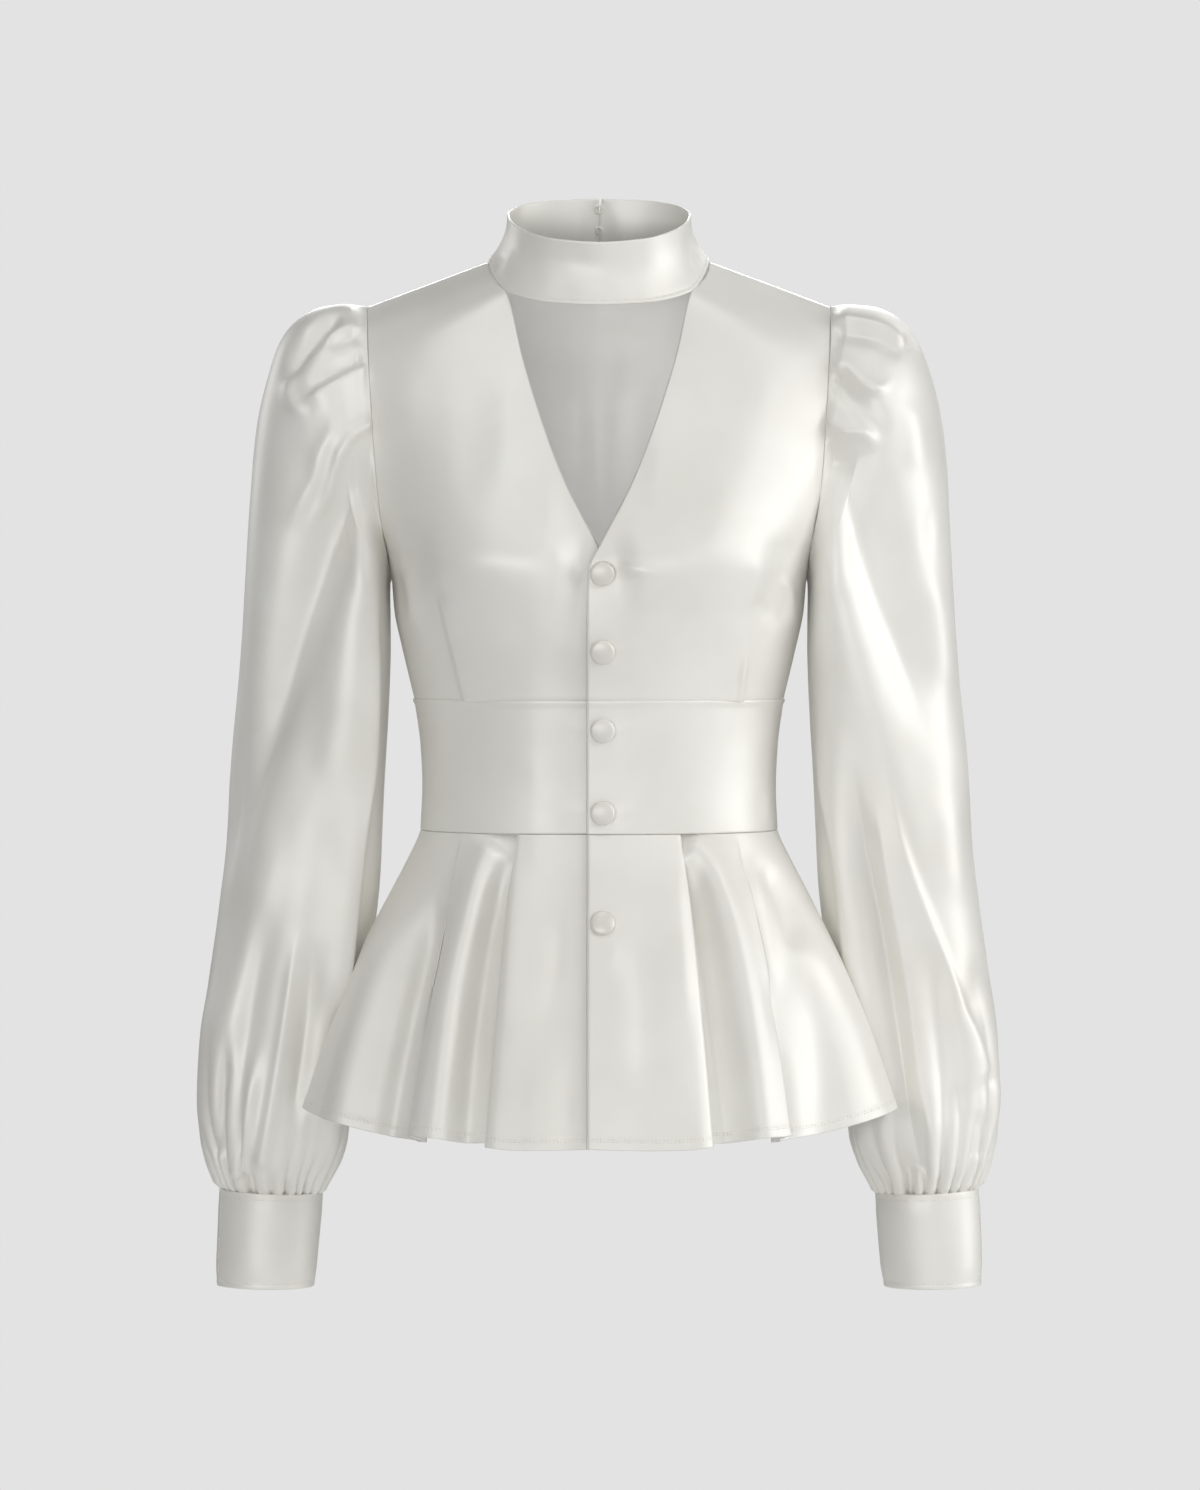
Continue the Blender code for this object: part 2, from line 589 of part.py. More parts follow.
def build():
    """All nodes of the blouse."""
    clear_scene()
    blouse = bpy.data.collections.new("peplum_blouse")
    bpy.context.scene.collection.children.link(blouse)
    for side, word in ((1, "left"), (-1, "right")):
        panel(f"front_{word}", 13, 16, front_point, side, CLOTH_WALL, IVORY, blouse)
        panel(f"midriff_front_{word}", 10, 3, midriff_front_point, side, BAND_WALL, IVORY, blouse)
        panel(f"peplum_front_{word}", len(PEPLUM_FRONT) - 1, 6, peplum_front_point, side,
              CLOTH_WALL, IVORY, blouse)
        panel(f"sleeve_{word}", 2 * GATHER_COUNT, 18, sleeve_point, side,
              CLOTH_WALL, IVORY, blouse, closed=True)
        panel(f"cuff_{word}", 30, 2, cuff_point, side, CUFF_WALL, IVORY, blouse)
    panel("back", 22, 13, back_point, 1, CLOTH_WALL, IVORY, blouse, both=True)
    panel("midriff_back", 20, 3, midriff_back_point, 1, BAND_WALL, IVORY, blouse, both=True)
    panel("peplum_back", 2 * (len(PEPLUM_BACK) - 1), 6, peplum_back_point, 1,
          CLOTH_WALL, IVORY, blouse, both=True)
    panel("collar", 40, 3, collar_point, 1, COLLAR_WALL, IVORY, blouse, both=True)
    places = (front_point, front_point, midriff_front_point, midriff_front_point,
              peplum_front_point)
    walls = (CLOTH_WALL, CLOTH_WALL, BAND_WALL, BAND_WALL, CLOTH_WALL)
    for number, (z, place, wall) in enumerate(zip(BUTTON_Z, places, walls), 1):
        point, normal = surface_at(place, BUTTON_X, z, 1)
        button(f"button_{number}", point + normal * (wall / 2 + BUTTON_GAP + 0.1), normal, blouse)
    for word, (height, half_width) in zip(("upper", "lower"), FASTENERS):
        fastener(f"collar_fastener_{word}", height, half_width, blouse)


build()
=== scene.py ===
"""Looks of the peplum blouse: satin panels with their folds, stitching, buttons and studio.

Sizes are in millimetres and become metres where a mesh is made. +X is the wearer's left,
-Y is the front, +Z is up. A side's tables are written for +X, and the other side mirrors them.
"""

from __future__ import annotations

import logging
import math
from dataclasses import dataclass
from enum import Enum
from typing import Sequence

import bmesh
import bpy
import numpy as np
from mathutils import Matrix, Vector

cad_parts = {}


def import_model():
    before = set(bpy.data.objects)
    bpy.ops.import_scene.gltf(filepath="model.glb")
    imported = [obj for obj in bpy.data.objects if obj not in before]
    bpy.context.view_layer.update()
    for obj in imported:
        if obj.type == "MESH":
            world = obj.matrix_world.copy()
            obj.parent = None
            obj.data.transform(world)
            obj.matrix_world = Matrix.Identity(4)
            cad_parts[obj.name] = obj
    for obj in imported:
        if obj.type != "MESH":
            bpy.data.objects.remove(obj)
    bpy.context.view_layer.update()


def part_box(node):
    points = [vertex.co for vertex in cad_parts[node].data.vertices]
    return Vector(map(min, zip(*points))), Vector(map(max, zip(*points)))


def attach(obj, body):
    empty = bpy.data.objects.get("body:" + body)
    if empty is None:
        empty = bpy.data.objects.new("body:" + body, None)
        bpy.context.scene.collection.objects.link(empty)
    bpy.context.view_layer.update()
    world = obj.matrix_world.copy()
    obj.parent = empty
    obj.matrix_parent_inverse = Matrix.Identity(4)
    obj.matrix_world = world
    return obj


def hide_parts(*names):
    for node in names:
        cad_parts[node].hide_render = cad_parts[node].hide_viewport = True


LOG = logging.getLogger("peplum_blouse")
MM = 0.001
BODY = "root"
MERGE = 1e-6  # points closer than this many metres are one
SHOWN = (-0.05, 0.3)  # how squarely cloth has to look our way for a crease to begin and be whole
WAVE_UNIT = 20.0  # a wave texture of scale 1 has this many waves in a metre
ROLL_SHARE = 0.9  # part of its radius that a rolled edge turns in

Point = tuple[float, float]
Pairs = tuple[Point, ...]
Colour = tuple[float, float, float]
Socket = bpy.types.NodeSocket


class Side(Enum):
    """The wearer's left or right, as the sign of its x."""

    LEFT = 1
    RIGHT = -1

    @property
    def word(self) -> str:
        """Name of the side as the nodes have it."""
        return self.name.lower()


class Edge(Enum):
    """An edge of a cloth grid."""

    FIRST_COLUMN = "first column"
    LAST_COLUMN = "last column"
    TOP = "top"
    BOTTOM = "bottom"


class Face(Enum):
    """Which way a fold's cloth looks."""

    FRONT = -1
    BACK = 1


# ---- Lines and surfaces


class Spline:
    """A smooth line through the rows of a table that never swings past a row."""

    def __init__(self, knots: Sequence[float], rows: Sequence[Sequence[float]]) -> None:
        """Works out the slope at each row.

        Args:
            knots: Place of each row along the line, rising.
            rows: The numbers at each place.
        """
        self.knots = np.array(knots, float)
        self.rows = np.array(rows, float)
        step = np.diff(self.knots)[:, None]
        rise = np.diff(self.rows, axis=0) / step
        self.slope = np.zeros_like(self.rows)
        self.slope[0] = rise[0]
        self.slope[-1] = rise[-1]
        before, after = rise[:-1], rise[1:]
        wide = step[:-1] + 2 * step[1:]
        narrow = 2 * step[:-1] + step[1:]
        same = before * after > 0
        mean = (wide + narrow) / (
            narrow / np.where(same, before, 1.0) + wide / np.where(same, after, 1.0)
        )
        self.slope[1:-1] = np.where(same, mean, 0.0)

    def __call__(self, at: np.ndarray | float) -> np.ndarray:
        """Rows at the given places, with the table's columns as the last axis."""
        at = np.clip(np.asarray(at, float), self.knots[0], self.knots[-1])
        return between(at, self.knots, self.rows, self.slope)


def between(at: np.ndarray, knots: np.ndarray, rows: np.ndarray, slope: np.ndarray) -> np.ndarray:
    """Rows between the knots, on curves that keep the slope at each knot.

    Args:
        at: Places along the knots.
        knots: Place of each row.
        rows: The rows.
        slope: Slope of each row.

    Returns:
        One row for each place.
    """
    k = np.clip(np.searchsorted(knots, at) - 1, 0, len(knots) - 2)
    step = (knots[k + 1] - knots[k])[..., None]
    t = (at - knots[k])[..., None] / step
    low = (1 + 2 * t) * (1 - t) ** 2 * rows[k] + t * (1 - t) ** 2 * step * slope[k]
    high = t * t * (3 - 2 * t) * rows[k + 1] - t * t * (1 - t) * step * slope[k + 1]
    return low + high


def way_along(points: np.ndarray) -> np.ndarray:
    """Length along a line of points, from its first point to each."""
    return np.concatenate(([0.0], np.cumsum(np.linalg.norm(np.diff(points, axis=0), axis=1))))


def flat_row(row: Sequence) -> list[float]:
    """A row of numbers and tuples of numbers as one list of numbers.

    Args:
        row: The row.

    Returns:
        Its numbers in order.
    """
    numbers: list[float] = []
    for item in row:
        numbers.extend(item if isinstance(item, (tuple, list)) else [item])
    return numbers


def spline_of(rows: Sequence[Sequence]) -> Spline:
    """The spline of a table whose first column is the place along it."""
    return Spline([row[0] for row in rows], [flat_row(row[1:]) for row in rows])


def eased(low: float, high: float, at: np.ndarray | float) -> np.ndarray:
    """0 below low, 1 above high, and smooth between."""
    t = np.clip((np.asarray(at, float) - low) / (high - low), 0.0, 1.0)
    return t * t * (3 - 2 * t)


def steps(count: int, first: float = 0.0, last: float = 0.0, extra: int = 4) -> np.ndarray:
    """Places from 0 to 1, closer together in a strip at either end.

    Args:
        count: Even steps between the strips.
        first: Width of the strip at 0.
        last: Width of the strip at 1.
        extra: Steps inside each strip.

    Returns:
        The places.
    """
    start = np.linspace(0.0, first, extra + 1)[:-1] if first else np.array([])
    end = np.linspace(1.0 - last, 1.0, extra + 1)[1:] if last else np.array([])
    return np.concatenate([start, np.linspace(first, 1.0 - last, count + 1), end])


def uneven(x: np.ndarray, z: np.ndarray, seed: int, low: float, high: float) -> np.ndarray:
    """Gentle unevenness of cloth that hangs, as a sum of long waves of all directions.

    Args:
        x: Places across, in mm.
        z: Places up, in mm.
        seed: Which of the patterns.
        low: Shortest wave, in mm.
        high: Longest wave, in mm.

    Returns:
        Heights of about -1 to 1.
    """
    waves, steepest, gain = 9, 0.9, 1.6
    draw = np.random.default_rng(seed)
    total = np.zeros(np.broadcast(x, z).shape)
    for _ in range(waves):
        length = draw.uniform(low, high)
        turn = draw.uniform(-steepest, steepest)
        phase = draw.uniform(0.0, 2 * math.pi)
        total += np.sin(2 * math.pi * (x * math.cos(turn) + z * math.sin(turn)) / length + phase)
    return total / waves * gain


@dataclass(frozen=True)
class Crease:
    """One soft trough or ridge along a line that is drawn in the front or back view.

    The line's points are own x (outward from the centre) and z. Left and right are seen
    along the line, so on a line that runs down, left is the outer side.
    """

    path: Pairs
    height: float
    left: float
    right: float
    crisp: float = 2.0
    fade: Point = (0.3, 0.3)
    face: Face = Face.FRONT

    def line(self, pieces: int = 26) -> np.ndarray:
        """Smooth line through the points of the path, as rows of x and z.

        Args:
            pieces: How many straight pieces stand for it.

        Returns:
            Its points.
        """
        path = np.array(self.path, float)
        length = way_along(path)
        slope = np.gradient(path, length, axis=0, edge_order=1)
        return between(np.linspace(0.0, length[-1], pieces + 1), length, path, slope)

    def heights(self, x: np.ndarray, z: np.ndarray, facing: np.ndarray) -> np.ndarray:
        """Lift of the cloth at each place.

        Args:
            x: Own x of each place.
            z: Height of each place.
            facing: The y part of the cloth's outward normal at each place.

        Returns:
            Lifts along the normal, in mm.
        """
        line = self.line()
        pieces = len(line) - 1
        nearest = np.full(x.shape, 1e9)
        off = np.zeros(x.shape)
        along = np.zeros(x.shape)
        for k, (start, end) in enumerate(zip(line, line[1:])):
            dx, dz = end - start
            px, pz = x - start[0], z - start[1]
            t = np.clip((px * dx + pz * dz) / (dx * dx + dz * dz), 0.0, 1.0)
            apart = np.hypot(px - t * dx, pz - t * dz)
            closer = apart < nearest
            nearest = np.where(closer, apart, nearest)
            off = np.where(closer, np.where(dx * pz - dz * px > 0, apart, -apart), off)
            along = np.where(closer, (k + t) / pieces, along)
        width = np.where(off > 0, self.left, self.right)
        rise, fall = self.fade
        envelope = eased(0.0, rise, along) if rise else np.ones(x.shape)
        if fall:
            envelope = envelope * (1 - eased(1.0 - fall, 1.0, along))
        shown = eased(*SHOWN, facing * self.face.value)
        return self.height * np.exp(-np.abs(off / width) ** self.crisp) * envelope * shown


def creases_of(rows: Sequence[tuple], face: Face = Face.FRONT) -> tuple[Crease, ...]:
    """Creases of a table.

    Args:
        rows: Path, height, left and right width of each, then its crispness and fade if given.
        face: The way that their cloth looks.

    Returns:
        The creases.
    """
    return tuple(Crease(*row, face=face) for row in rows)


def mirrored_creases(rows: Sequence[tuple], depth: float, fade: Point) -> tuple[Crease, ...]:
    """Creases of a back, the same on both its sides.

    Args:
        rows: Path, height and width of each, on the +X side.
        depth: What their heights are multiplied by.
        fade: Share of each that rises, and that falls.

    Returns:
        The creases.
    """
    return tuple(
        Crease(tuple((way * x, z) for x, z in path), depth * height, width, width, 2, fade, Face.BACK)
        for way in (1, -1)
        for path, height, width in rows
    )


class ClothGrid:
    """A grid of points on a cloth surface, in mm, as rows from top to bottom."""

    def __init__(
        self, points: np.ndarray, closed: bool = False, centre: np.ndarray | None = None
    ) -> None:
        """Keeps the points and finds which way is out.

        Args:
            points: Array of rows, columns and x, y, z.
            closed: True where the last column is the first again.
            centre: Points to look outward from; the body's axis if it isn't given.
        """
        self.points = points
        self.closed = closed
        self.sign = 1.0
        if centre is None:
            centre = points * np.array([0.0, 0.0, 1.0])
        if np.mean(np.sum(self.normals() * (points - centre), axis=-1)) < 0:
            self.sign = -1.0

    def normals(self) -> np.ndarray:
        """Unit normals that point out of the garment.

        Returns:
            One normal for each point.
        """
        if self.closed:
            ring = self.points[:, :-1]
            across = np.roll(ring, -1, axis=1) - np.roll(ring, 1, axis=1)
            across = np.concatenate([across, across[:, :1]], axis=1)
        else:
            across = np.gradient(self.points, axis=1)
        down = np.gradient(self.points, axis=0)
        out = np.cross(across, down)
        size = np.linalg.norm(out, axis=-1, keepdims=True)
        return self.sign * out / np.maximum(size, 1e-9)

    def lift(self, heights: np.ndarray) -> None:
        """Moves each point out by its height."""
        self.points = self.points + self.normals() * heights[..., None]

    def mirror(self, side: Side) -> None:
        """Puts a piece made in own x on its side of the body."""
        self.points = self.points * np.array([side.value, 1.0, 1.0])
        self.sign *= side.value

    def relief(self, waves: Sequence[tuple], creases: Sequence[Crease] = (), shift: int = 0) -> np.ndarray:
        """Heights of the cloth's unevenness and creases.

        Args:
            waves: Height, seed, shortest and longest wave of each unevenness.
            creases: The creases.
            shift: Added to each seed, so that the two sides differ.

        Returns:
            Lifts in mm.
        """
        x, z = self.points[..., 0], self.points[..., 2]
        facing = self.normals()[..., 1]
        total = np.zeros(x.shape)
        for height, seed, low, high in waves:
            total = total + height * uneven(x, z, seed + shift, low, high)
        for crease in creases:
            total = total + crease.heights(x, z, facing)
        return total

    def distance(self, *edges: Edge) -> np.ndarray:
        """Way along the cloth from the nearest of some edges.

        Args:
            edges: The edges to measure from.

        Returns:
            A distance in mm for each point.
        """
        found = []
        for edge in edges:
            axis = 1 if edge in (Edge.FIRST_COLUMN, Edge.LAST_COLUMN) else 0
            step = np.linalg.norm(np.diff(self.points, axis=axis), axis=-1)
            pad = [(1 - axis, 0), (axis, 0)]
            way = np.pad(np.cumsum(step, axis=axis), pad)
            if edge in (Edge.LAST_COLUMN, Edge.BOTTOM):
                way = np.take(way, [-1], axis=axis) - way
            found.append(way)
        return np.min(found, axis=0)

    def even_out(self, times: int) -> None:
        """Takes kinks out of the cloth's y down its columns and keeps its first and last row.

        Args:
            times: How often to even it out.
        """
        y = self.points[..., 1].copy()
        for _ in range(times):
            y[1:-1] += 0.25 * (y[:-2] + y[2:] - 2 * y[1:-1])
        self.points[..., 1] = y

    def roll(self, radius: float | np.ndarray, *edges: Edge) -> None:
        """Turns edges inward round a small radius, as a sewn or folded edge lies.

        Args:
            radius: Radius of the turn, in mm, or one for each point.
            edges: The edges to turn.
        """
        for edge in edges:
            inside = np.clip(1 - self.distance(edge) / radius, 0.0, 1.0)
            self.lift(-radius * (1 - np.sqrt(np.maximum(1 - inside**2, 0.0))) * ROLL_SHARE)

    def object(self, name: str, flat: Point) -> bpy.types.Object:
        """Mesh object of the grid, with a UV map in metres of flat cloth.

        Args:
            name: Name of the piece.
            flat: Width and length of the flat cloth, in mm.

        Returns:
            The new object.
        """
        rows, columns = self.points.shape[0] - 1, self.points.shape[1] - 1
        maker = bmesh.new()
        maker.loops.layers.uv.new("cloth")
        bmesh.ops.create_grid(maker, x_segments=columns, y_segments=rows, size=1.0, calc_uvs=True)
        if self.sign < 0:
            bmesh.ops.reverse_faces(maker, faces=maker.faces)
        piece = object_of(name, maker)
        mesh = piece.data
        place = np.empty(len(mesh.vertices) * 3, np.float32)
        mesh.vertices.foreach_get("co", place)
        place = place.reshape(-1, 3)
        j = np.rint((place[:, 0] + 1) / 2 * columns).astype(int)
        i = np.rint((1 - place[:, 1]) / 2 * rows).astype(int)
        mesh.vertices.foreach_set("co", (self.points[i, j] * MM).astype(np.float32).ravel())
        chart = mesh.uv_layers["cloth"].data
        uv = np.empty(len(chart) * 2, np.float32)
        chart.foreach_get("uv", uv)
        uv = uv.reshape(-1, 2) * np.array([flat[0] * MM, flat[1] * MM], np.float32)
        chart.foreach_set("uv", uv.ravel())
        if self.closed:
            merge(mesh)
        return piece


Grids = dict[str, ClothGrid]


def merge(mesh: bpy.types.Mesh, closed: bool = False) -> None:
    """Joins the points of a mesh that lie together.

    Args:
        mesh: The mesh to change.
        closed: True to close its openings too and turn its faces out.
    """
    maker = bmesh.new()
    maker.from_mesh(mesh)
    bmesh.ops.remove_doubles(maker, verts=maker.verts, dist=MERGE)
    if closed:
        rims = [edge for edge in maker.edges if edge.is_boundary]
        bmesh.ops.holes_fill(maker, edges=rims, sides=0)
        bmesh.ops.recalc_face_normals(maker, faces=maker.faces)
    maker.to_mesh(mesh)
    maker.free()


def object_of(name: str, maker: bmesh.types.BMesh, smooth: bool = True) -> bpy.types.Object:
    """Turns a bmesh into an object in the scene.

    Args:
        name: Name of the object and its mesh.
        maker: The bmesh, which is freed.
        smooth: Whether its faces are shaded smooth.

    Returns:
        The new object.
    """
    mesh = bpy.data.meshes.new(name)
    maker.to_mesh(mesh)
    maker.free()
    if smooth:
        mesh.shade_smooth()
    piece = bpy.data.objects.new(name, mesh)
    bpy.context.scene.collection.objects.link(piece)
    return piece


def add_wall(piece: bpy.types.Object, wall: float) -> None:
    """Gives a cloth surface its thickness, half to each side.

    Args:
        piece: The cloth.
        wall: Its thickness in mm.
    """
    shell = piece.modifiers.new("wall", "SOLIDIFY")
    shell.thickness = wall * MM
    shell.offset = 0.0
    shell.use_even_offset = False
    shell.use_rim = True


def banded(
    grid: ClothGrid, wall: float, name: str, flat: Point, bulge: np.ndarray
) -> bpy.types.Object:
    """A doubled band of cloth on a grid: an outer and an inner face joined by round folds.

    Args:
        grid: Middle surface of the band.
        wall: Thickness over both faces, in mm.
        name: Name of the piece.
        flat: Width and length of the flat cloth, in mm.
        bulge: Extra lift of the outer face for each grid point, in mm.

    Returns:
        The new object.
    """
    half = wall / 2
    out = grid.normals()
    down = np.gradient(grid.points, axis=0)
    down /= np.maximum(np.linalg.norm(down, axis=-1, keepdims=True), 1e-9)
    lifted = grid.points + out * half + out * bulge[..., None]
    sunk = grid.points - out * half
    turns = np.linspace(0.0, math.pi, 7)[1:-1]
    folds = {
        row: [
            grid.points[row] + out[row] * reach * math.cos(a) + down[row] * reach * math.sin(a)
            for a in turns
        ]
        for row, reach in ((-1, half), (0, -half))
    }
    rows = [*lifted, *folds[-1], *sunk[::-1], *folds[0], lifted[0]]
    ring = ClothGrid(np.array(rows), centre=grid.points.mean(axis=(0, 1)))
    ring.sign = grid.sign
    piece = ring.object(name, flat)
    merge(piece.data, closed=True)
    piece.data.shade_smooth()
    return piece


# ---- Finishes


def set_inputs(node: bpy.types.Node, values: dict) -> bpy.types.Node:
    """Gives inputs of a node their values, or links them where the value is an output.

    Args:
        node: The node.
        values: A number, colour or output socket for each input, by the input's name.

    Returns:
        The same node.
    """
    for name, value in values.items():
        if isinstance(value, bpy.types.NodeSocket):
            node.id_data.links.new(value, node.inputs[name])
        else:
            node.inputs[name].default_value = value
    return node


def add_node(tree: bpy.types.NodeTree, kind: str, values: dict) -> bpy.types.Node:
    """Adds a shader node.

    Args:
        tree: The nodes of a material or world.
        kind: Blender's name for the kind of node.
        values: What its inputs get, as set_inputs takes it.

    Returns:
        The new node.
    """
    return set_inputs(tree.nodes.new(f"ShaderNode{kind}"), values)


@dataclass(frozen=True)
class Finish:
    """A finish with two tones, whose material is made once."""

    name: str
    colour: Colour
    shade: Colour
    roughness: float

    def material(self) -> bpy.types.Material:
        """The material of this finish.

        Returns:
            The material.
        """
        material = bpy.data.materials.get(self.name)
        if not material:
            material = bpy.data.materials.new(self.name)
            material.use_nodes = True
            tree = material.node_tree
            self.dress(tree, tree.nodes["Principled BSDF"])
        return material

    def dress(self, tree: bpy.types.NodeTree, shader: bpy.types.Node) -> None:
        """Adds the finish's nodes; each kind of finish has its own."""
        raise NotImplementedError

    def tones(self, tree: bpy.types.NodeTree, share: Socket, first: float, last: float) -> Socket:
        """Runs from the shade to the colour.

        Args:
            tree: The material's nodes.
            share: What it follows.
            first: Where the shade ends.
            last: Where the colour begins.

        Returns:
            The output with the mixed colour.
        """
        ramp = add_node(tree, "ValToRGB", {"Fac": share})
        for element, place, tone in zip(ramp.color_ramp.elements, (first, last), (self.shade, self.colour)):
            element.position = place
            element.color = (*tone, 1.0)
        return ramp.outputs["Color"]


@dataclass(frozen=True)
class SatinFinish(Finish):
    """Ivory satin: a soft sheen over fine floats, with faint slubs and tone."""

    name: str = "ivory_satin"
    colour: Colour = (0.845, 0.84, 0.80)
    shade: Colour = (0.80, 0.785, 0.735)
    roughness: float = 0.48
    roughness_swing: float = 0.03
    metallic: float = 0.15
    specular: float = 0.60
    glow: float = 0.0
    glow_depth: float = 0.004
    coat: float = 0.04
    coat_roughness: float = 0.26
    sheen: float = 0.06
    sheen_roughness: float = 0.35
    cloud_scale: float = 14.0
    float_pitch: float = 0.00028
    float_depth: float = 0.000012
    slub_scale: tuple[float, float, float] = (60.0, 900.0, 1.0)
    slub_depth: float = 0.00004

    def dress(self, tree: bpy.types.NodeTree, shader: bpy.types.Node) -> None:
        """Adds the sheen, the cloudy tone and the woven grain.

        Args:
            tree: The material's nodes.
            shader: The surface shader.
        """
        set_inputs(shader, {
            "Metallic": self.metallic,
            "Specular IOR Level": self.specular,
            "Subsurface Weight": self.glow,
            "Subsurface Radius": (1.0, 1.0, 1.0),
            "Subsurface Scale": self.glow_depth,
            "Coat Weight": self.coat,
            "Coat Roughness": self.coat_roughness,
            "Sheen Weight": self.sheen,
            "Sheen Roughness": self.sheen_roughness,
        })
        place = add_node(tree, "TexCoord", {})
        self.tone(tree, place.outputs["Object"], shader)
        self.weave(tree, place.outputs["UV"], shader)

    def tone(self, tree: bpy.types.NodeTree, place: Socket, shader: bpy.types.Node) -> None:
        """Cloudy variation of colour and roughness over a few centimetres.

        Args:
            tree: The material's nodes.
            place: The coordinates that it follows.
            shader: The surface shader.
        """
        cloud = add_node(tree, "TexNoise", {"Scale": self.cloud_scale, "Detail": 3.0, "Vector": place})
        share = cloud.outputs["Fac"]
        colour = self.tones(tree, share, 0.35, 0.68)
        gloss = add_node(tree, "MapRange", {
            "From Min": 0.3,
            "From Max": 0.7,
            "To Min": self.roughness - self.roughness_swing,
            "To Max": self.roughness + self.roughness_swing,
            "Value": share,
        })
        set_inputs(shader, {"Base Color": colour, "Roughness": gloss.outputs["Result"]})

    def weave(self, tree: bpy.types.NodeTree, place: Socket, shader: bpy.types.Node) -> None:
        """Fine diagonal floats and faint slubs, as bump on the cloth's own map.

        Args:
            tree: The material's nodes.
            place: The coordinates that it follows.
            shader: The surface shader.
        """
        pitch = 1.0 / self.float_pitch / WAVE_UNIT
        floats = add_node(tree, "TexWave", {"Scale": pitch, "Distortion": 0.4, "Vector": place})
        floats.bands_direction = "DIAGONAL"
        fine = add_node(tree, "Bump", {
            "Strength": 0.25, "Distance": self.float_depth, "Height": floats.outputs["Fac"],
        })
        stretch = add_node(tree, "Mapping", {"Scale": self.slub_scale, "Vector": place})
        slubs = add_node(tree, "TexNoise", {
            "Scale": 1.0, "Detail": 2.0, "Vector": stretch.outputs["Vector"],
        })
        broad = add_node(tree, "Bump", {
            "Strength": 0.2,
            "Distance": self.slub_depth,
            "Height": slubs.outputs["Fac"],
            "Normal": fine.outputs["Normal"],
        })
        set_inputs(shader, {"Normal": broad.outputs["Normal"]})


@dataclass(frozen=True)
class ButtonFinish(SatinFinish):
    """The same satin, drawn tight over a button."""

    name: str = "button_satin"
    colour: Colour = (0.76, 0.745, 0.70)
    shade: Colour = (0.73, 0.71, 0.66)
    roughness: float = 0.42
    coat: float = 0.05


@dataclass(frozen=True)
class BackSatinFinish(SatinFinish):
    """The same satin with the light that comes through it from behind."""

    name: str = "back_satin_cloth"
    glow: float = 0.8


@dataclass(frozen=True)
class ThreadFinish(Finish):
    """Ivory sewing thread, matt, with the twist of its plies and painted shade in the grooves between them.
    """

    name: str = "ivory_thread"
    # colour is the plies' crests; shade is painted shade for the grooves between them
    colour: Colour = (0.86, 0.845, 0.80)
    shade: Colour = (0.72, 0.70, 0.64)
    roughness: float = 0.55
    sheen: float = 0.2
    twist: float = 1400.0
    ply_depth: float = 0.00006

    def dress(self, tree: bpy.types.NodeTree, shader: bpy.types.Node) -> None:
        """Adds the twisted plies, and painted shade that darkens the colour in the grooves between them.

        Args:
            tree: The material's nodes.
            shader: The surface shader.
        """
        set_inputs(shader, {"Roughness": self.roughness, "Sheen Weight": self.sheen})
        place = add_node(tree, "TexCoord", {})
        plies = add_node(tree, "TexWave", {
            "Scale": self.twist / WAVE_UNIT, "Distortion": 1.2, "Vector": place.outputs["Object"],
        })
        plies.bands_direction = "DIAGONAL"
        # painted shade: the colour runs from the dark tone where the bump sinks between the plies to the
        # light tone on their crests
        share = plies.outputs["Fac"]
        set_inputs(shader, {"Base Color": self.tones(tree, share, 0.0, 1.0)})
        bump = add_node(tree, "Bump", {"Strength": 0.5, "Distance": self.ply_depth, "Height": share})
        set_inputs(shader, {"Normal": bump.outputs["Normal"]})


SATIN = SatinFinish()
BACK_SATIN = BackSatinFinish()
BUTTON_SATIN = ButtonFinish()
THREAD = ThreadFinish()


@dataclass(frozen=True)
class Cut:
    """The flat piece that a cloth piece is cut from: width, length and area in metres."""

    width: float
    length: float
    area: float
    held: str = "stretched"


def finish_piece(
    piece: bpy.types.Object,
    finish: Finish,
    nodes: Sequence[str] = (),
) -> bpy.types.Object:
    """Dresses a piece, ties it to the body and hides the CAD nodes that it replaces.

    Args:
        piece: The finished mesh object.
        finish: Its finish.
        nodes: CAD nodes that it replaces.

    Returns:
        The same piece.
    """
    piece.data.materials.append(finish.material())
    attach(piece, BODY)
    if nodes:
        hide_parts(*nodes)
    LOG.info("%s: %d faces", piece.name, len(piece.data.polygons))
    return piece


def cloth_piece(
    grid: ClothGrid, node: str, chart: Point, wall: float, finish: Finish
) -> bpy.types.Object:
    """A cloth piece of one layer, finished and dressed.

    Args:
        grid: Its middle surface.
        node: The CAD node that it replaces.
        chart: Width and length that its weave is laid on, in mm.
        wall: Its thickness in mm.
        finish: Its satin.

    Returns:
        The piece.
    """
    piece = grid.object(f"{node}_satin", chart)
    add_wall(piece, wall)
    return finish_piece(piece, finish, (node,))


# ---- Form of the body, as the source has it

UNDERBUST_Z = -298.0
WAIST_Z = -386.5
WRAP = 8.0  # how far each front passes the centre
LAP_STEP = 5.2  # how far the under front lies behind
LAP_FADE = (11.0, 46.0)  # own x over which it comes forward again

# Stitched lines, by their distance from an edge
HEM_LINES = (6.9, 5.4)
COLLAR_LINE = 2.0
CUFF_LINES = {Edge.TOP: 3.6, Edge.BOTTOM: 3.0, Edge.FIRST_COLUMN: 2.4}

BUTTON_X = 2.2
BUTTON_Z = (-213.0, -264.2, -316.8, -372.1, -445.6)


def groove(far: np.ndarray, place: float, depth: float, width: float) -> np.ndarray:
    """Lift of a stitched line, which draws the cloth in.

    Args:
        far: Distance of each point from an edge, in mm.
        place: Distance of the line from it.
        depth: How deep the line lies.
        width: How wide it is.

    Returns:
        Lifts in mm.
    """
    return -depth * np.exp(-(((far - place) / width) ** 2))


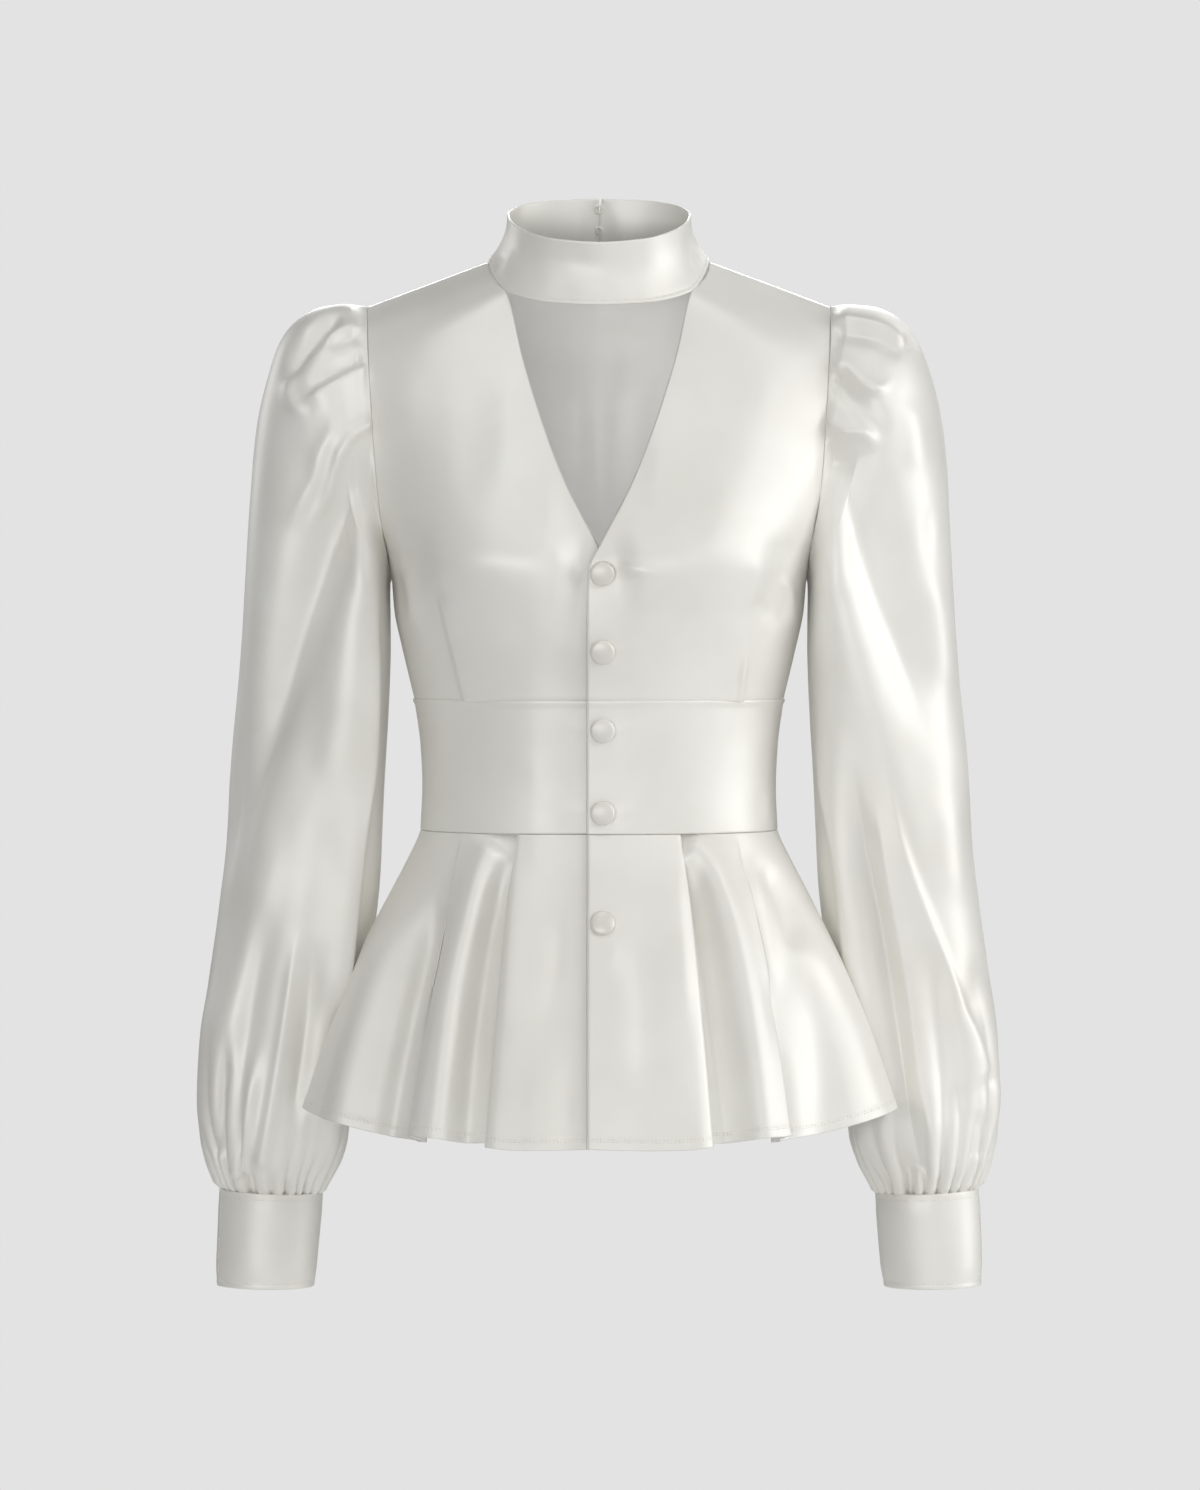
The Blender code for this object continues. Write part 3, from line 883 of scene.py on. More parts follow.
def lap_step(x: np.ndarray, side: Side) -> np.ndarray:
    """How far the under front lies behind the upper one, by its own x.

    Args:
        x: Own x of each place.
        side: Which front it is.

    Returns:
        How far back each place lies, in mm.
    """
    if side is Side.LEFT:
        return np.zeros_like(x)
    return LAP_STEP * (1 - eased(*LAP_FADE, x))


def curve_points(
    u: np.ndarray, start: Sequence, end: Sequence, reach_start: Sequence, reach_end: Sequence
) -> tuple[np.ndarray, np.ndarray]:
    """Points of the plan curve that leaves start by one reach and meets end by the other.

    Args:
        u: Places along the curve.
        start: First end, x and y.
        end: Last end, x and y.
        reach_start: How far the first end reaches along the curve.
        reach_end: How far the last end reaches back.

    Returns:
        The x and the y of each place.
    """
    a, b, c, d = (1 - u) ** 3, 3 * u * (1 - u) ** 2, 3 * u * u * (1 - u), u**3
    x = a * start[0] + b * (start[0] + reach_start[0]) + c * (end[0] + reach_end[0]) + d * end[0]
    y = a * start[1] + b * (start[1] + reach_start[1]) + c * (end[1] + reach_end[1]) + d * end[1]
    return x, y


def quarter_points(
    u: np.ndarray, edge: float, half_width: np.ndarray, depth: np.ndarray
) -> tuple[np.ndarray, np.ndarray]:
    """Points of a quarter of the body's section, from its front or back edge to the side.

    Args:
        u: Places along the quarter.
        edge: The x that it starts from.
        half_width: Half the section's width.
        depth: The y of its front, negative, or of its back.

    Returns:
        The x and the y of each place.
    """
    depth = np.asarray(depth, float)
    sign = np.where(depth < 0, -1.0, 1.0)
    reach = 0.571 * (half_width - edge)
    nothing = np.zeros_like(depth)
    return curve_points(
        u, (edge, depth), (half_width, 0.2 * sign), (reach, nothing), (nothing, 0.6 * depth)
    )


@dataclass
class FrontBodice:
    """One bodice front, from the shoulder to the underbust seam, with its bust dart."""

    side: Side
    wall: float = 0.7
    columns: int = 120
    rows: int = 150
    evened: int = 36
    waves: tuple = ((0.3, 11, 45.0, 120.0), (0.07, 15, 14.0, 34.0))
    seam_fade: float = 9.0
    edge_radius: float = 2.1
    armhole_radius: float = 0.7
    seam_radius: float = 0.4
    neck_thinner: float = 1.1
    neck_from: Point = (-212.0, -204.0)
    chart: Point = (175.0, 300.0)
    cut: Cut = Cut(0.19, 0.31, 0.0405)
    bust_rise: float = 6.0
    bust_centre: Point = (84.0, -206.0)
    bust_spread: tuple[float, float, float] = (38.0, 52.0, 34.0)
    table: tuple = (
        (0, (75.6, -0.6, -1.8), (156.6, -0.6, -32), (27, 0), (-27, 0)),
        (0.0625, (73, -17.8, -10.4), (156.2, -22, -45), (28, -5), (-28, -3)),
        (0.125, (68, -30.2, -17.6), (155.4, -36, -62), (30, -9), (-30, -9)),
        (0.1875, (61.8, -40.6, -24.6), (154.4, -43, -78), (32, -11), (-30, -14)),
        (0.3125, (51.6, -57, -66.5), (152.6, -50.5, -106), (38, -12), (-32, -20)),
        (0.4375, (38.6, -77, -109), (150.6, -52, -135), (44, -11), (-30, -28)),
        (0.5625, (22.4, -96.4, -151.5), (148.2, -49, -162), (57, -8), (-24, -42)),
        (0.6875, (1, -110, -193.5), (144.6, -35, -192), (72, -6), (-12, -60)),
        (0.75, (-6.6, -112, -209), (140.5, -0.2, -215), (84, -5), (0, -78)),
        (0.8125, (-8, -111.5, -232), (138.6, -0.2, -238), (84, -4), (0, -75)),
        (0.875, (-8, -106, -260), (133.6, -0.2, -262), (80, -1), (0, -67)),
        (1, (-8, -96.5, -297.6), (125, -0.2, -297.9), (76, 0), (0, -58)),
    )

    def surface(self, u: np.ndarray, v: np.ndarray) -> np.ndarray:
        """Points of the cloth without its folds.

        Args:
            u: Places from the inner edge to the armhole or side.
            v: Places from the shoulder down.

        Returns:
            A grid of points in own x, y and z.
        """
        row = spline_of(self.table)(v)[:, None, :]
        across = np.broadcast_to(u[None, :], (len(v), len(u)))
        x, y = curve_points(
            across,
            (row[..., 0], row[..., 1]),
            (row[..., 3], row[..., 4]),
            (row[..., 6], row[..., 7]),
            (row[..., 8], row[..., 9]),
        )
        z = row[..., 2] + (row[..., 5] - row[..., 2]) * across
        wide, above, below = self.bust_spread
        high = np.where(z > self.bust_centre[1], above, below)
        full = self.bust_rise * np.exp(
            -(((x - self.bust_centre[0]) / wide) ** 2) - ((z - self.bust_centre[1]) / high) ** 2
        )
        y = y - full * (1 - across**4) + lap_step(x, self.side)
        return np.stack([x, y, z], axis=-1)

    def creases(self) -> tuple[Crease, ...]:
        """Dart, drag lines and soft upright folds of this front.

        Returns:
            Its creases.
        """
        shared = creases_of((
            (((8, -210), (56, -208), (96, -210), (122, -213)), 6.2, 21, 25, 2, (0.2, 0.2)),
            (((96, -228), (112, -236), (126, -246)), -1.2, 12, 12),
        ))
        if self.side is Side.RIGHT:
            return shared + creases_of((
                (((105, -224), (96.5, -262), (87.5, -300)), 2.4, 2.6, 18, 1.6, (0.15, 0)),
                (((60, -66), (61, -120), (64, -168)), 1.1, 9, 8),
                (((84, -72), (84, -120), (86, -178)), -1.1, 12, 12),
                (((128, -70), (127, -108), (120, -150)), 1.2, 14, 14),
                (((36, -140), (34, -175), (42, -204)), 0.9, 9, 8),
                (((137, -206), (133, -226), (130, -246)), -1.6, 4, 3),
                (((130, -208), (126, -228), (126, -248)), 1.3, 3.5, 5),
                (((66, -224), (48, -254), (24, -290)), -0.6, 12, 12),
            ))
        return shared + creases_of((
            (((99.5, -234), (97.5, -262), (91.5, -300)), 1.6, 2.6, 15, 1.6, (0.5, 0)),
            (((44, -110), (40, -150), (36, -190)), 1, 10, 9),
            (((64, -70), (60, -120), (62, -176)), -0.8, 14, 12),
            (((110, -66), (108, -110), (98, -160)), 0.7, 15, 15),
            (((146, -76), (142, -130), (134, -190)), 0.7, 9, 20),
            (((118, -212), (126, -222), (129.5, -238), (129, -254)), 1.6, 2.6, 4.5),
            (((122, -218), (124, -232), (123, -248)), -1.4, 4, 4),
            (((97, -262), (94.5, -282), (93.5, -300)), 1.4, 4.5, 1.6, 1.6, (0.4, 0)),
            (((106, -228), (110, -238), (116, -242)), -1, 4, 5),
            (((64, -228), (44, -252), (20, -284)), -0.7, 10, 12),
            (((12, -206), (26, -210), (44, -213)), 0.9, 3, 4),
        ))

    def build(self) -> bpy.types.Object:
        """Makes and dresses the front.

        Returns:
            The piece.
        """
        points = self.surface(steps(self.columns, 0.012, 0.012), steps(self.rows, 0.006, 0.006))
        grid = ClothGrid(points)
        grid.even_out(self.evened)
        x, z = grid.points[..., 0], grid.points[..., 2]
        height = grid.relief(self.waves, self.creases(), self.side.value)
        for level in BUTTON_Z[:2]:
            height = height + button_pull(x, z, level, self.side)
        grid.lift(height * eased(0.0, self.seam_fade, grid.distance(Edge.LAST_COLUMN, Edge.TOP)))
        turn = np.full_like(z, self.edge_radius)
        if self.side is Side.LEFT:
            turn = turn - self.neck_thinner * eased(*self.neck_from, z)
        grid.roll(turn, Edge.FIRST_COLUMN)
        grid.roll(self.armhole_radius, Edge.LAST_COLUMN)
        grid.roll(self.seam_radius, Edge.BOTTOM)
        grid.mirror(self.side)
        node = f"front_{self.side.word}"
        return cloth_piece(grid, node, self.chart, self.wall, SATIN)


def button_pull(x: np.ndarray, z: np.ndarray, level: float, side: Side) -> np.ndarray:
    """Shallow dent and drag lines that a button makes in the fronts.

    Args:
        x: Own x of each place.
        z: Height of each place.
        level: Height of the button.
        side: Which front it is.

    Returns:
        Lifts in mm.
    """
    dx, dz = x - BUTTON_X * side.value, z - level
    dent = -0.6 * np.exp(-((dx / 12.0) ** 2) - (dz / 9.0) ** 2)
    strength = 0.4 if level > WAIST_Z else 0.15
    drag = strength * np.exp(-((dz - 0.25 * dx + 3.0) / 3.2) ** 2) * eased(6.0, 12.0, dx)
    drag = drag * (1 - eased(16.0, 34.0, dx))
    return 0.6 * drag if side is Side.RIGHT else dent + drag


@dataclass
class BackBodice:
    """The bodice back, in one piece from the neck to the underbust seam."""

    wall: float = 0.7
    columns: int = 136
    rows: int = 112
    chart: Point = (380.0, 320.0)
    cut: Cut = Cut(0.40, 0.33, 0.108)
    waves: tuple = ((0.35, 23, 50.0, 130.0),)
    seam_fade: float = 9.0
    edge_radius: float = 1.3
    stations: tuple = (0.0, 0.22, 0.42, 0.50, 0.75, 0.90, 1.0)
    table: tuple = (
        (0, (0, 62.2, 0.4), (38.5, 55.4, 2), (68.8, 31.2, 3.4), (75.8, 0.6, -1.8), (117, 0.6, -17),
         (141.5, 0.6, -26.2), (156.6, 0.6, -32)),
        (0.09, (0, 70, -24), (39, 66.5, -23), (72, 52, -20), (84, 38, -19), (120, 26, -32),
         (142.5, 25, -40), (157, 25, -45)),
        (0.2, (0, 77.5, -55), (39, 76.5, -54), (74, 66, -51), (89, 58.5, -51), (124, 50, -61),
         (143.5, 48.5, -68), (157.4, 48, -72)),
        (0.34, (0, 84, -97), (39, 84.5, -96), (75, 79, -94), (91, 74, -94), (125, 64, -102),
         (143.5, 60, -109), (155.8, 59, -113)),
        (0.49, (0, 86, -141), (38.5, 87.5, -141), (75, 83, -141), (91, 78.5, -142), (124, 66, -150),
         (141.5, 58, -157), (152.4, 52, -161)),
        (0.62, (0, 85.5, -181), (38, 87, -181), (73, 82, -182), (89, 76.5, -184), (120, 62, -190),
         (137.5, 47, -194), (147.2, 35, -196)),
        (0.72, (0, 84, -210), (37, 85, -210), (71, 79.5, -211), (87, 74, -212), (118, 54, -214),
         (134, 30, -215), (140.5, 0.2, -215)),
        (0.86, (0, 80.5, -256), (35.5, 80.5, -256), (68, 74, -257), (83.5, 68, -257), (113, 48, -257),
         (129, 25, -257), (134.8, 0.2, -257)),
        (1, (0, 77, -297.6), (34, 76, -297.6), (64.5, 69, -297.6), (79, 62.5, -297.6), (107, 42, -297.7),
         (120.5, 21, -297.8), (125, 0.2, -297.9)),
    )

    def surface(self, u: np.ndarray, v: np.ndarray) -> np.ndarray:
        """Points of the cloth without its folds, u from -1 to 1.

        Args:
            u: Places across.
            v: Places from the neck down.

        Returns:
            A grid of points.
        """
        rows = spline_of(self.table)(v).reshape(len(v), -1, 3)
        grid = np.array([Spline(self.stations, row)(np.abs(u)) for row in rows])
        grid[..., 0] *= np.sign(u)
        return grid

    def creases(self) -> tuple[Crease, ...]:
        """Soft folds of the back, seen from behind or through the neck opening.

        Returns:
            Its creases.
        """
        rows = (
            (((18, -60), (13, -130), (10, -190)), 0.6, 9),
            (((100, -60), (92, -110), (80, -170)), 0.9, 14),
            (((128, -128), (112, -160), (90, -196)), -1.1, 10),
            (((132, -170), (118, -200), (96, -232)), 1, 9),
            (((66, -296), (62, -262), (60, -222)), -0.8, 2),
            (((40, -296), (34, -262), (36, -214)), 0.6, 11),
        )
        return mirrored_creases(rows, 1.7, (0.25, 0.35))

    def build(self) -> bpy.types.Object:
        """Makes and dresses the back.

        Returns:
            The piece.
        """
        u = 2 * steps(self.columns, 0.006, 0.006) - 1
        grid = ClothGrid(self.surface(u, steps(self.rows, 0.006, 0.006)))
        far = grid.distance(Edge.FIRST_COLUMN, Edge.LAST_COLUMN, Edge.TOP)
        grid.lift(grid.relief(self.waves, self.creases()) * eased(0.0, self.seam_fade, far))
        grid.roll(self.edge_radius, Edge.FIRST_COLUMN, Edge.LAST_COLUMN, Edge.BOTTOM, Edge.TOP)
        return cloth_piece(grid, "back", self.chart, self.wall, BACK_SATIN)


@dataclass
class MidriffBand:
    """The fitted band between the underbust seam and the waist seam."""

    wall: float = 0.9
    front_chart: Point = (174.0, 90.0)
    back_chart: Point = (310.0, 90.0)
    front_cut: Cut = Cut(0.178, 0.092, 0.0158)
    back_cut: Cut = Cut(0.312, 0.092, 0.0278)
    waves: tuple = ((0.16, 31, 50.0, 120.0), (0.05, 35, 14.0, 34.0))
    back_waves: tuple = ((0.35, 37, 40.0, 100.0),)
    seam_fade: float = 8.0
    ridge: float = 0.9
    ridge_fade: Point = (1.5, 4.5)
    edge_radius: float = 0.8
    lap_radius: float = 2.1
    table: tuple = (
        (0.00, UNDERBUST_Z + 0.6, 125.1, 96.6, 77.1),
        (0.35, -329.0, 120.9, 92.0, 74.6),
        (0.65, -355.0, 119.7, 89.2, 73.2),
        (1.00, WAIST_Z + 0.15, 121.0, 87.5, 74.0),
    )

    def surface(self, u: np.ndarray, v: np.ndarray, side: Side | None) -> np.ndarray:
        """Points of a front half in own x, or of the whole back.

        Args:
            u: Places from the closing edge to the side, or from -1 to 1 on the back.
            v: Places from the top seam down.
            side: Which half, or none for the back.

        Returns:
            A grid of points.
        """
        row = spline_of(self.table)(v)[:, None, :]
        across = np.broadcast_to(np.abs(u)[None, :], (len(v), len(u)))
        edge, depth = (-WRAP, -row[..., 2]) if side else (0.0, row[..., 3])
        x, y = quarter_points(across, edge, row[..., 1], depth)
        z = np.broadcast_to(row[..., 0], x.shape)
        if side:
            return np.stack([x, y + lap_step(x, side), z], axis=-1)
        return np.stack([x * np.sign(u), y, z], axis=-1)

    def creases(self, side: Side) -> tuple[Crease, ...]:
        """Faint drag lines of a front half, and a tuck beside the side seam on the left.

        Args:
            side: Which half.

        Returns:
            Its creases.
        """
        rows = (
            (((100, -308), (70, -316), (34, -318)), 0.2, 8, 10),
            (((60, -330), (40, -350), (30, -374)), 0.3, 10, 10),
            (((114, -356), (113, -370), (113.5, -384)), 1.2, 2.5, 3.5),
        )
        return creases_of(rows if side is Side.LEFT else rows[:-1])

    def settle(self, grid: ClothGrid, height: np.ndarray, *edges: Edge) -> None:
        """Lifts the band between some seams, with its piped line along the top one.

        Args:
            grid: The cloth.
            height: Lifts in mm.
            edges: The seams that hold it.
        """
        grid.lift(height * eased(0.0, self.seam_fade, grid.distance(*edges)))
        grid.lift(self.ridge * (1 - eased(*self.ridge_fade, grid.distance(Edge.TOP))))

    def build_front(self, side: Side) -> bpy.types.Object:
        """Makes and dresses a front half.

        Args:
            side: Which half.

        Returns:
            The piece.
        """
        grid = ClothGrid(self.surface(steps(84, 0.012, 0.012), steps(40, 0.02, 0.02), side))
        x, z = grid.points[..., 0], grid.points[..., 2]
        height = grid.relief(self.waves, self.creases(side), side.value)
        for level in BUTTON_Z[2:4]:
            height = height + button_pull(x, z, level, side)
        self.settle(grid, height, Edge.LAST_COLUMN, Edge.TOP, Edge.BOTTOM)
        grid.roll(self.lap_radius, Edge.FIRST_COLUMN)
        grid.roll(self.edge_radius, Edge.LAST_COLUMN, Edge.TOP, Edge.BOTTOM)
        grid.mirror(side)
        node = f"midriff_front_{side.word}"
        return cloth_piece(grid, node, self.front_chart, self.wall, SATIN)

    def build_back(self) -> bpy.types.Object:
        """Makes and dresses the back.

        Returns:
            The piece.
        """
        u = 2 * steps(120, 0.006, 0.006) - 1
        grid = ClothGrid(self.surface(u, steps(34, 0.02, 0.02), None))
        self.settle(grid, grid.relief(self.back_waves), Edge.TOP, Edge.BOTTOM)
        grid.roll(self.edge_radius, *Edge)
        return cloth_piece(
            grid, "midriff_back", self.back_chart, self.wall, BACK_SATIN
        )


@dataclass
class Peplum:
    """The flared peplum: knife pleats that open from the waist seam, and its turned hem."""

    wall: float = 0.7
    edge_radius: float = 1.3
    lap_radius: float = 2.1
    flare: float = 0.3
    tuck: float = 0.7
    flute_depth: float = 1.6
    first_fold: float = 5.5
    first_panel: float = 64.0
    front_chart: Point = (330.0, 216.0)
    back_chart: Point = (640.0, 216.0)
    front_cut: Cut = Cut(0.36, 0.225, 0.058, "hung")
    back_cut: Cut = Cut(0.68, 0.225, 0.112, "hung")
    waves: tuple = ((0.35, 41, 40.0, 110.0),)
    fine_waves: tuple = ((0.07, 44, 14.0, 34.0),)
    back_waves: tuple = ((0.45, 47, 40.0, 120.0),)
    seam_fade: float = 10.0
    hem_from: float = 0.93
    hem_depth: float = 8.5
    hem_step: float = 0.35
    half_width: float = 121.0
    front_depth: float = 87.5
    back_depth: float = 74.0
    front_table: tuple = (
        (0, 0, -8, -151.9, -590.6),
        (0.07, 0, 10, -152, -591.2),
        (0.16, 0, 34, -151.8, -591.6),
        (0.24, 0, 56, -150, -591.4),
        (0.295, 0, 69.5, -147.2, -590.4),
        (0.312, 1.1, 74.5, -143.2, -589.8),
        (0.29, 2.6, 69.5, -138.4, -589.4),
        (0.272, 4, 64.5, -133, -589),
        (0.3, 5.4, 71, -127.6, -588.8),
        (0.37, 3.8, 88, -125.6, -588.2),
        (0.43, 1.6, 104, -127, -587),
        (0.49, 0, 117, -126.4, -585.6),
        (0.545, 0, 125.5, -121.2, -584.6),
        (0.556, 0, 120, -115.4, -587),
        (0.568, 0, 114.5, -109.6, -589.8),
        (0.584, 0, 121.5, -103.6, -589),
        (0.616, 0, 136, -98.4, -587),
        (0.656, 0, 152, -94, -584.2),
        (0.705, 0, 168, -86, -581),
        (0.76, 0, 184, -71, -577.4),
        (0.82, 0, 196, -55, -573.8),
        (0.87, 0, 199.6, -43.5, -572.8),
        (0.915, 0, 194, -33, -573.2),
        (0.96, 0, 180, -22, -575),
        (1, 0, 163, -5.2, -577),
    )
    back_table: tuple = (
        (0, 0, 0, 138, -589),
        (0.11, 0, 26, 139, -589),
        (0.22, 0, 50, 137, -588.6),
        (0.285, 0, 62, 134.6, -588.2),
        (0.302, 1.1, 66.6, 130.6, -588),
        (0.28, 2.6, 61.6, 126, -587.8),
        (0.262, 4, 56.6, 120.6, -587.6),
        (0.29, 5.4, 63, 115, -587.2),
        (0.36, 3.8, 79, 113, -586.6),
        (0.42, 1.6, 95, 113.6, -585.8),
        (0.48, 0, 109, 111.8, -584.8),
        (0.535, 0, 117.4, 106, -584),
        (0.546, 0, 111.8, 100.4, -584.6),
        (0.558, 0, 106.2, 94.6, -585.2),
        (0.574, 0, 113, 87.8, -584.6),
        (0.62, 0, 127, 80, -583),
        (0.68, 0, 140, 69, -581.4),
        (0.75, 0, 149, 54, -580),
        (0.83, 0, 152, 36, -578.8),
        (0.91, 0, 152.6, 18, -577.8),
        (0.96, 0, 157, 5, -577.2),
        (1, 0, 163, -4.6, -577),
    )

    def surface(
        self, table: tuple, u: np.ndarray, v: np.ndarray, edge: float, depth: float
    ) -> np.ndarray:
        """Points of the pleated cloth, in own x.

        Args:
            table: Stations of the pleats.
            u: Places from the first station to the last.
            v: Places from the waist down.
            edge: The x that the waist curve starts from.
            depth: The y of the waist curve's start.

        Returns:
            A grid of points.
        """
        row = Spline(np.arange(len(table)), table)(u * (len(table) - 1))
        place, inset = row[:, 0], row[:, 1]
        x, y = quarter_points(place, edge, self.half_width, depth)
        ahead = quarter_points(np.minimum(place + 0.01, 1.0), edge, self.half_width, depth)
        behind = quarter_points(np.maximum(place - 0.01, 0.0), edge, self.half_width, depth)
        along = np.stack([ahead[0] - behind[0], ahead[1] - behind[1]], axis=-1)
        along /= np.linalg.norm(along, axis=-1, keepdims=True)
        turn = -1.0 if depth < 0 else 1.0
        x = x + turn * along[:, 1] * inset
        y = y - turn * along[:, 0] * inset
        down = v[:, None]
        flare = down * (1 + self.flare * (1 - down))
        top = WAIST_Z - 0.15 + self.tuck * np.maximum(inset - 1.0, 0.0)
        z = top + (row[:, 4] - top) * down
        return np.stack([x + (row[:, 2] - x) * flare, y + (row[:, 3] - y) * flare, z], axis=-1)

    def creases(self, side: Side) -> tuple[Crease, ...]:
        """Soft flutes of a front half.

        Args:
            side: Which half.

        Returns:
            Its creases.
        """
        if side is Side.RIGHT:
            return creases_of((
                (((67, -392), (76, -411), (84, -436), (95.5, -484), (103, -539), (108.5, -592)), 5.6, 12,
                 9.5, 2, (0.05, 0)),
                (((62, -394), (71, -443), (81, -512), (88, -592)), -4.6, 8, 9, 2, (0.2, 0)),
                (((126, -424), (142, -466), (158, -512), (172, -580)), 5, 14, 11, 2, (0.4, 0)),
                (((104, -413), (115, -471), (130, -539), (139, -592)), -4.6, 9, 9, 2, (0.3, 0)),
                (((148, -452), (172, -520), (190, -576)), -2, 10, 8, 2, (0.5, 0)),
                (((28, -500), (34, -550), (36, -592)), 0.8, 13, 15, 2, (0.4, 0)),
                (((54, -396), (58, -450), (62, -520)), 1, 5, 12),
                (((20, -420), (26, -480), (52, -560)), -1.3, 12, 10),
            ))
        return creases_of((
            (((56, -390), (69, -402), (83, -430), (96.5, -484), (104.5, -539), (110, -592)), 5.4, 10, 13,
             2, (0.05, 0)),
            (((58, -396), (66, -458), (76, -530), (84, -592)), -3.4, 9, 7, 2, (0.2, 0)),
            (((98, -400), (110, -457), (117, -501)), 2.4, 8, 8),
            (((107, -402), (124, -435), (133, -471)), -3, 8, 7),
            (((116, -424), (138, -457), (164, -512), (184, -570), (192, -594)), 3.4, 12, 15, 2, (0.35, 0)),
            (((140, -470), (147, -520), (149, -592)), -2.8, 14, 13, 2, (0.4, 0)),
            (((118, -500), (128, -545), (133, -592)), 1.6, 11, 11, 2, (0.4, 0)),
            (((50, -396), (54, -450), (58, -520)), 1.4, 6, 16),
            (((24, -440), (32, -500), (30, -560)), -1.5, 14, 12),
            (((12, -500), (16, -550), (18, -592)), 0.5, 12, 12),
            (((12, -452), (8, -466), (3, -480)), 0.35, 4, 5),
        ))

    def hem(self, grid: ClothGrid, seed: int) -> None:
        """Raises the turned hem, draws in its stitched line and puckers it a little.

        Args:
            grid: The cloth.
            seed: Which pattern of puckers.
        """
        up = grid.distance(Edge.BOTTOM)
        way = grid.distance(Edge.FIRST_COLUMN)[-1][None, :]
        turned = self.hem_step * (1 - eased(self.hem_depth - 1.2, self.hem_depth + 0.6, up))
        line = groove(up, HEM_LINES[0], 0.18, 1.1)
        pucker = 0.16 * uneven(way, 0 * way, seed, 5.0, 15.0) * np.exp(-((up - 5.0) / 5.0) ** 2)
        grid.lift(turned + line + pucker)

    def rows(self) -> np.ndarray:
        """Places down the cloth, close together over the hem."""
        hem = self.hem_from
        return np.concatenate([steps(54, 0.008, 0.0) * hem, np.linspace(hem, 1.0, 19)[1:]])

    def build_front(self, side: Side) -> tuple[bpy.types.Object, ClothGrid]:
        """Makes and dresses a front half.

        Args:
            side: Which half.

        Returns:
            The piece, and its grid for the stitching.
        """
        places = steps(196, 0.01, 0.0)
        points = self.surface(self.front_table, places, self.rows(), -WRAP, -self.front_depth)
        points[..., 1] += lap_step(points[..., 0], side)
        grid = ClothGrid(points)
        x, z = grid.points[..., 0], grid.points[..., 2]
        facing = grid.normals()[..., 1]
        height = grid.relief(self.waves, shift=side.value)
        first = (places * (len(self.front_table) - 1) < self.first_fold)[None, :]
        for crease in self.creases(side):
            panel = first if crease.path[-1][0] < self.first_panel else ~first
            height = height + self.flute_depth * crease.heights(x, z, facing) * panel
        height = height + button_pull(x, z, BUTTON_Z[4], side)
        height = height + grid.relief(self.fine_waves, shift=side.value)
        grid.lift(height * eased(0.0, self.seam_fade, grid.distance(Edge.TOP)))
        grid.roll(self.lap_radius, Edge.FIRST_COLUMN)
        grid.roll(self.edge_radius, Edge.TOP)
        self.hem(grid, 5 + side.value)
        grid.mirror(side)
        node = f"peplum_front_{side.word}"
        return cloth_piece(grid, node, self.front_chart, self.wall, SATIN), grid

    def build_back(self) -> tuple[bpy.types.Object, ClothGrid]:
        """Makes and dresses the back.

        Returns:
            The piece, and its grid for the stitching.
        """
        u = np.linspace(-1.0, 1.0, 291)
        points = self.surface(self.back_table, np.abs(u), self.rows(), 0.0, self.back_depth)
        points[..., 0] *= np.sign(u)
        grid = ClothGrid(points)
        rows = (
            (((40, -420), (50, -500), (54, -590)), 1.4, 14),
            (((8, -430), (12, -510), (10, -590)), -1.2, 14),
            (((98, -420), (118, -500), (132, -588)), 2, 12),
        )
        creases = mirrored_creases(rows, 1, (0.4, 0))
        height = grid.relief(self.back_waves, creases)
        grid.lift(height * eased(0.0, self.seam_fade, grid.distance(Edge.TOP)))
        grid.roll(self.edge_radius, Edge.TOP)
        self.hem(grid, 9)
        piece = cloth_piece(
            grid, "peplum_back", self.back_chart, self.wall, BACK_SATIN
        )
        return piece, grid


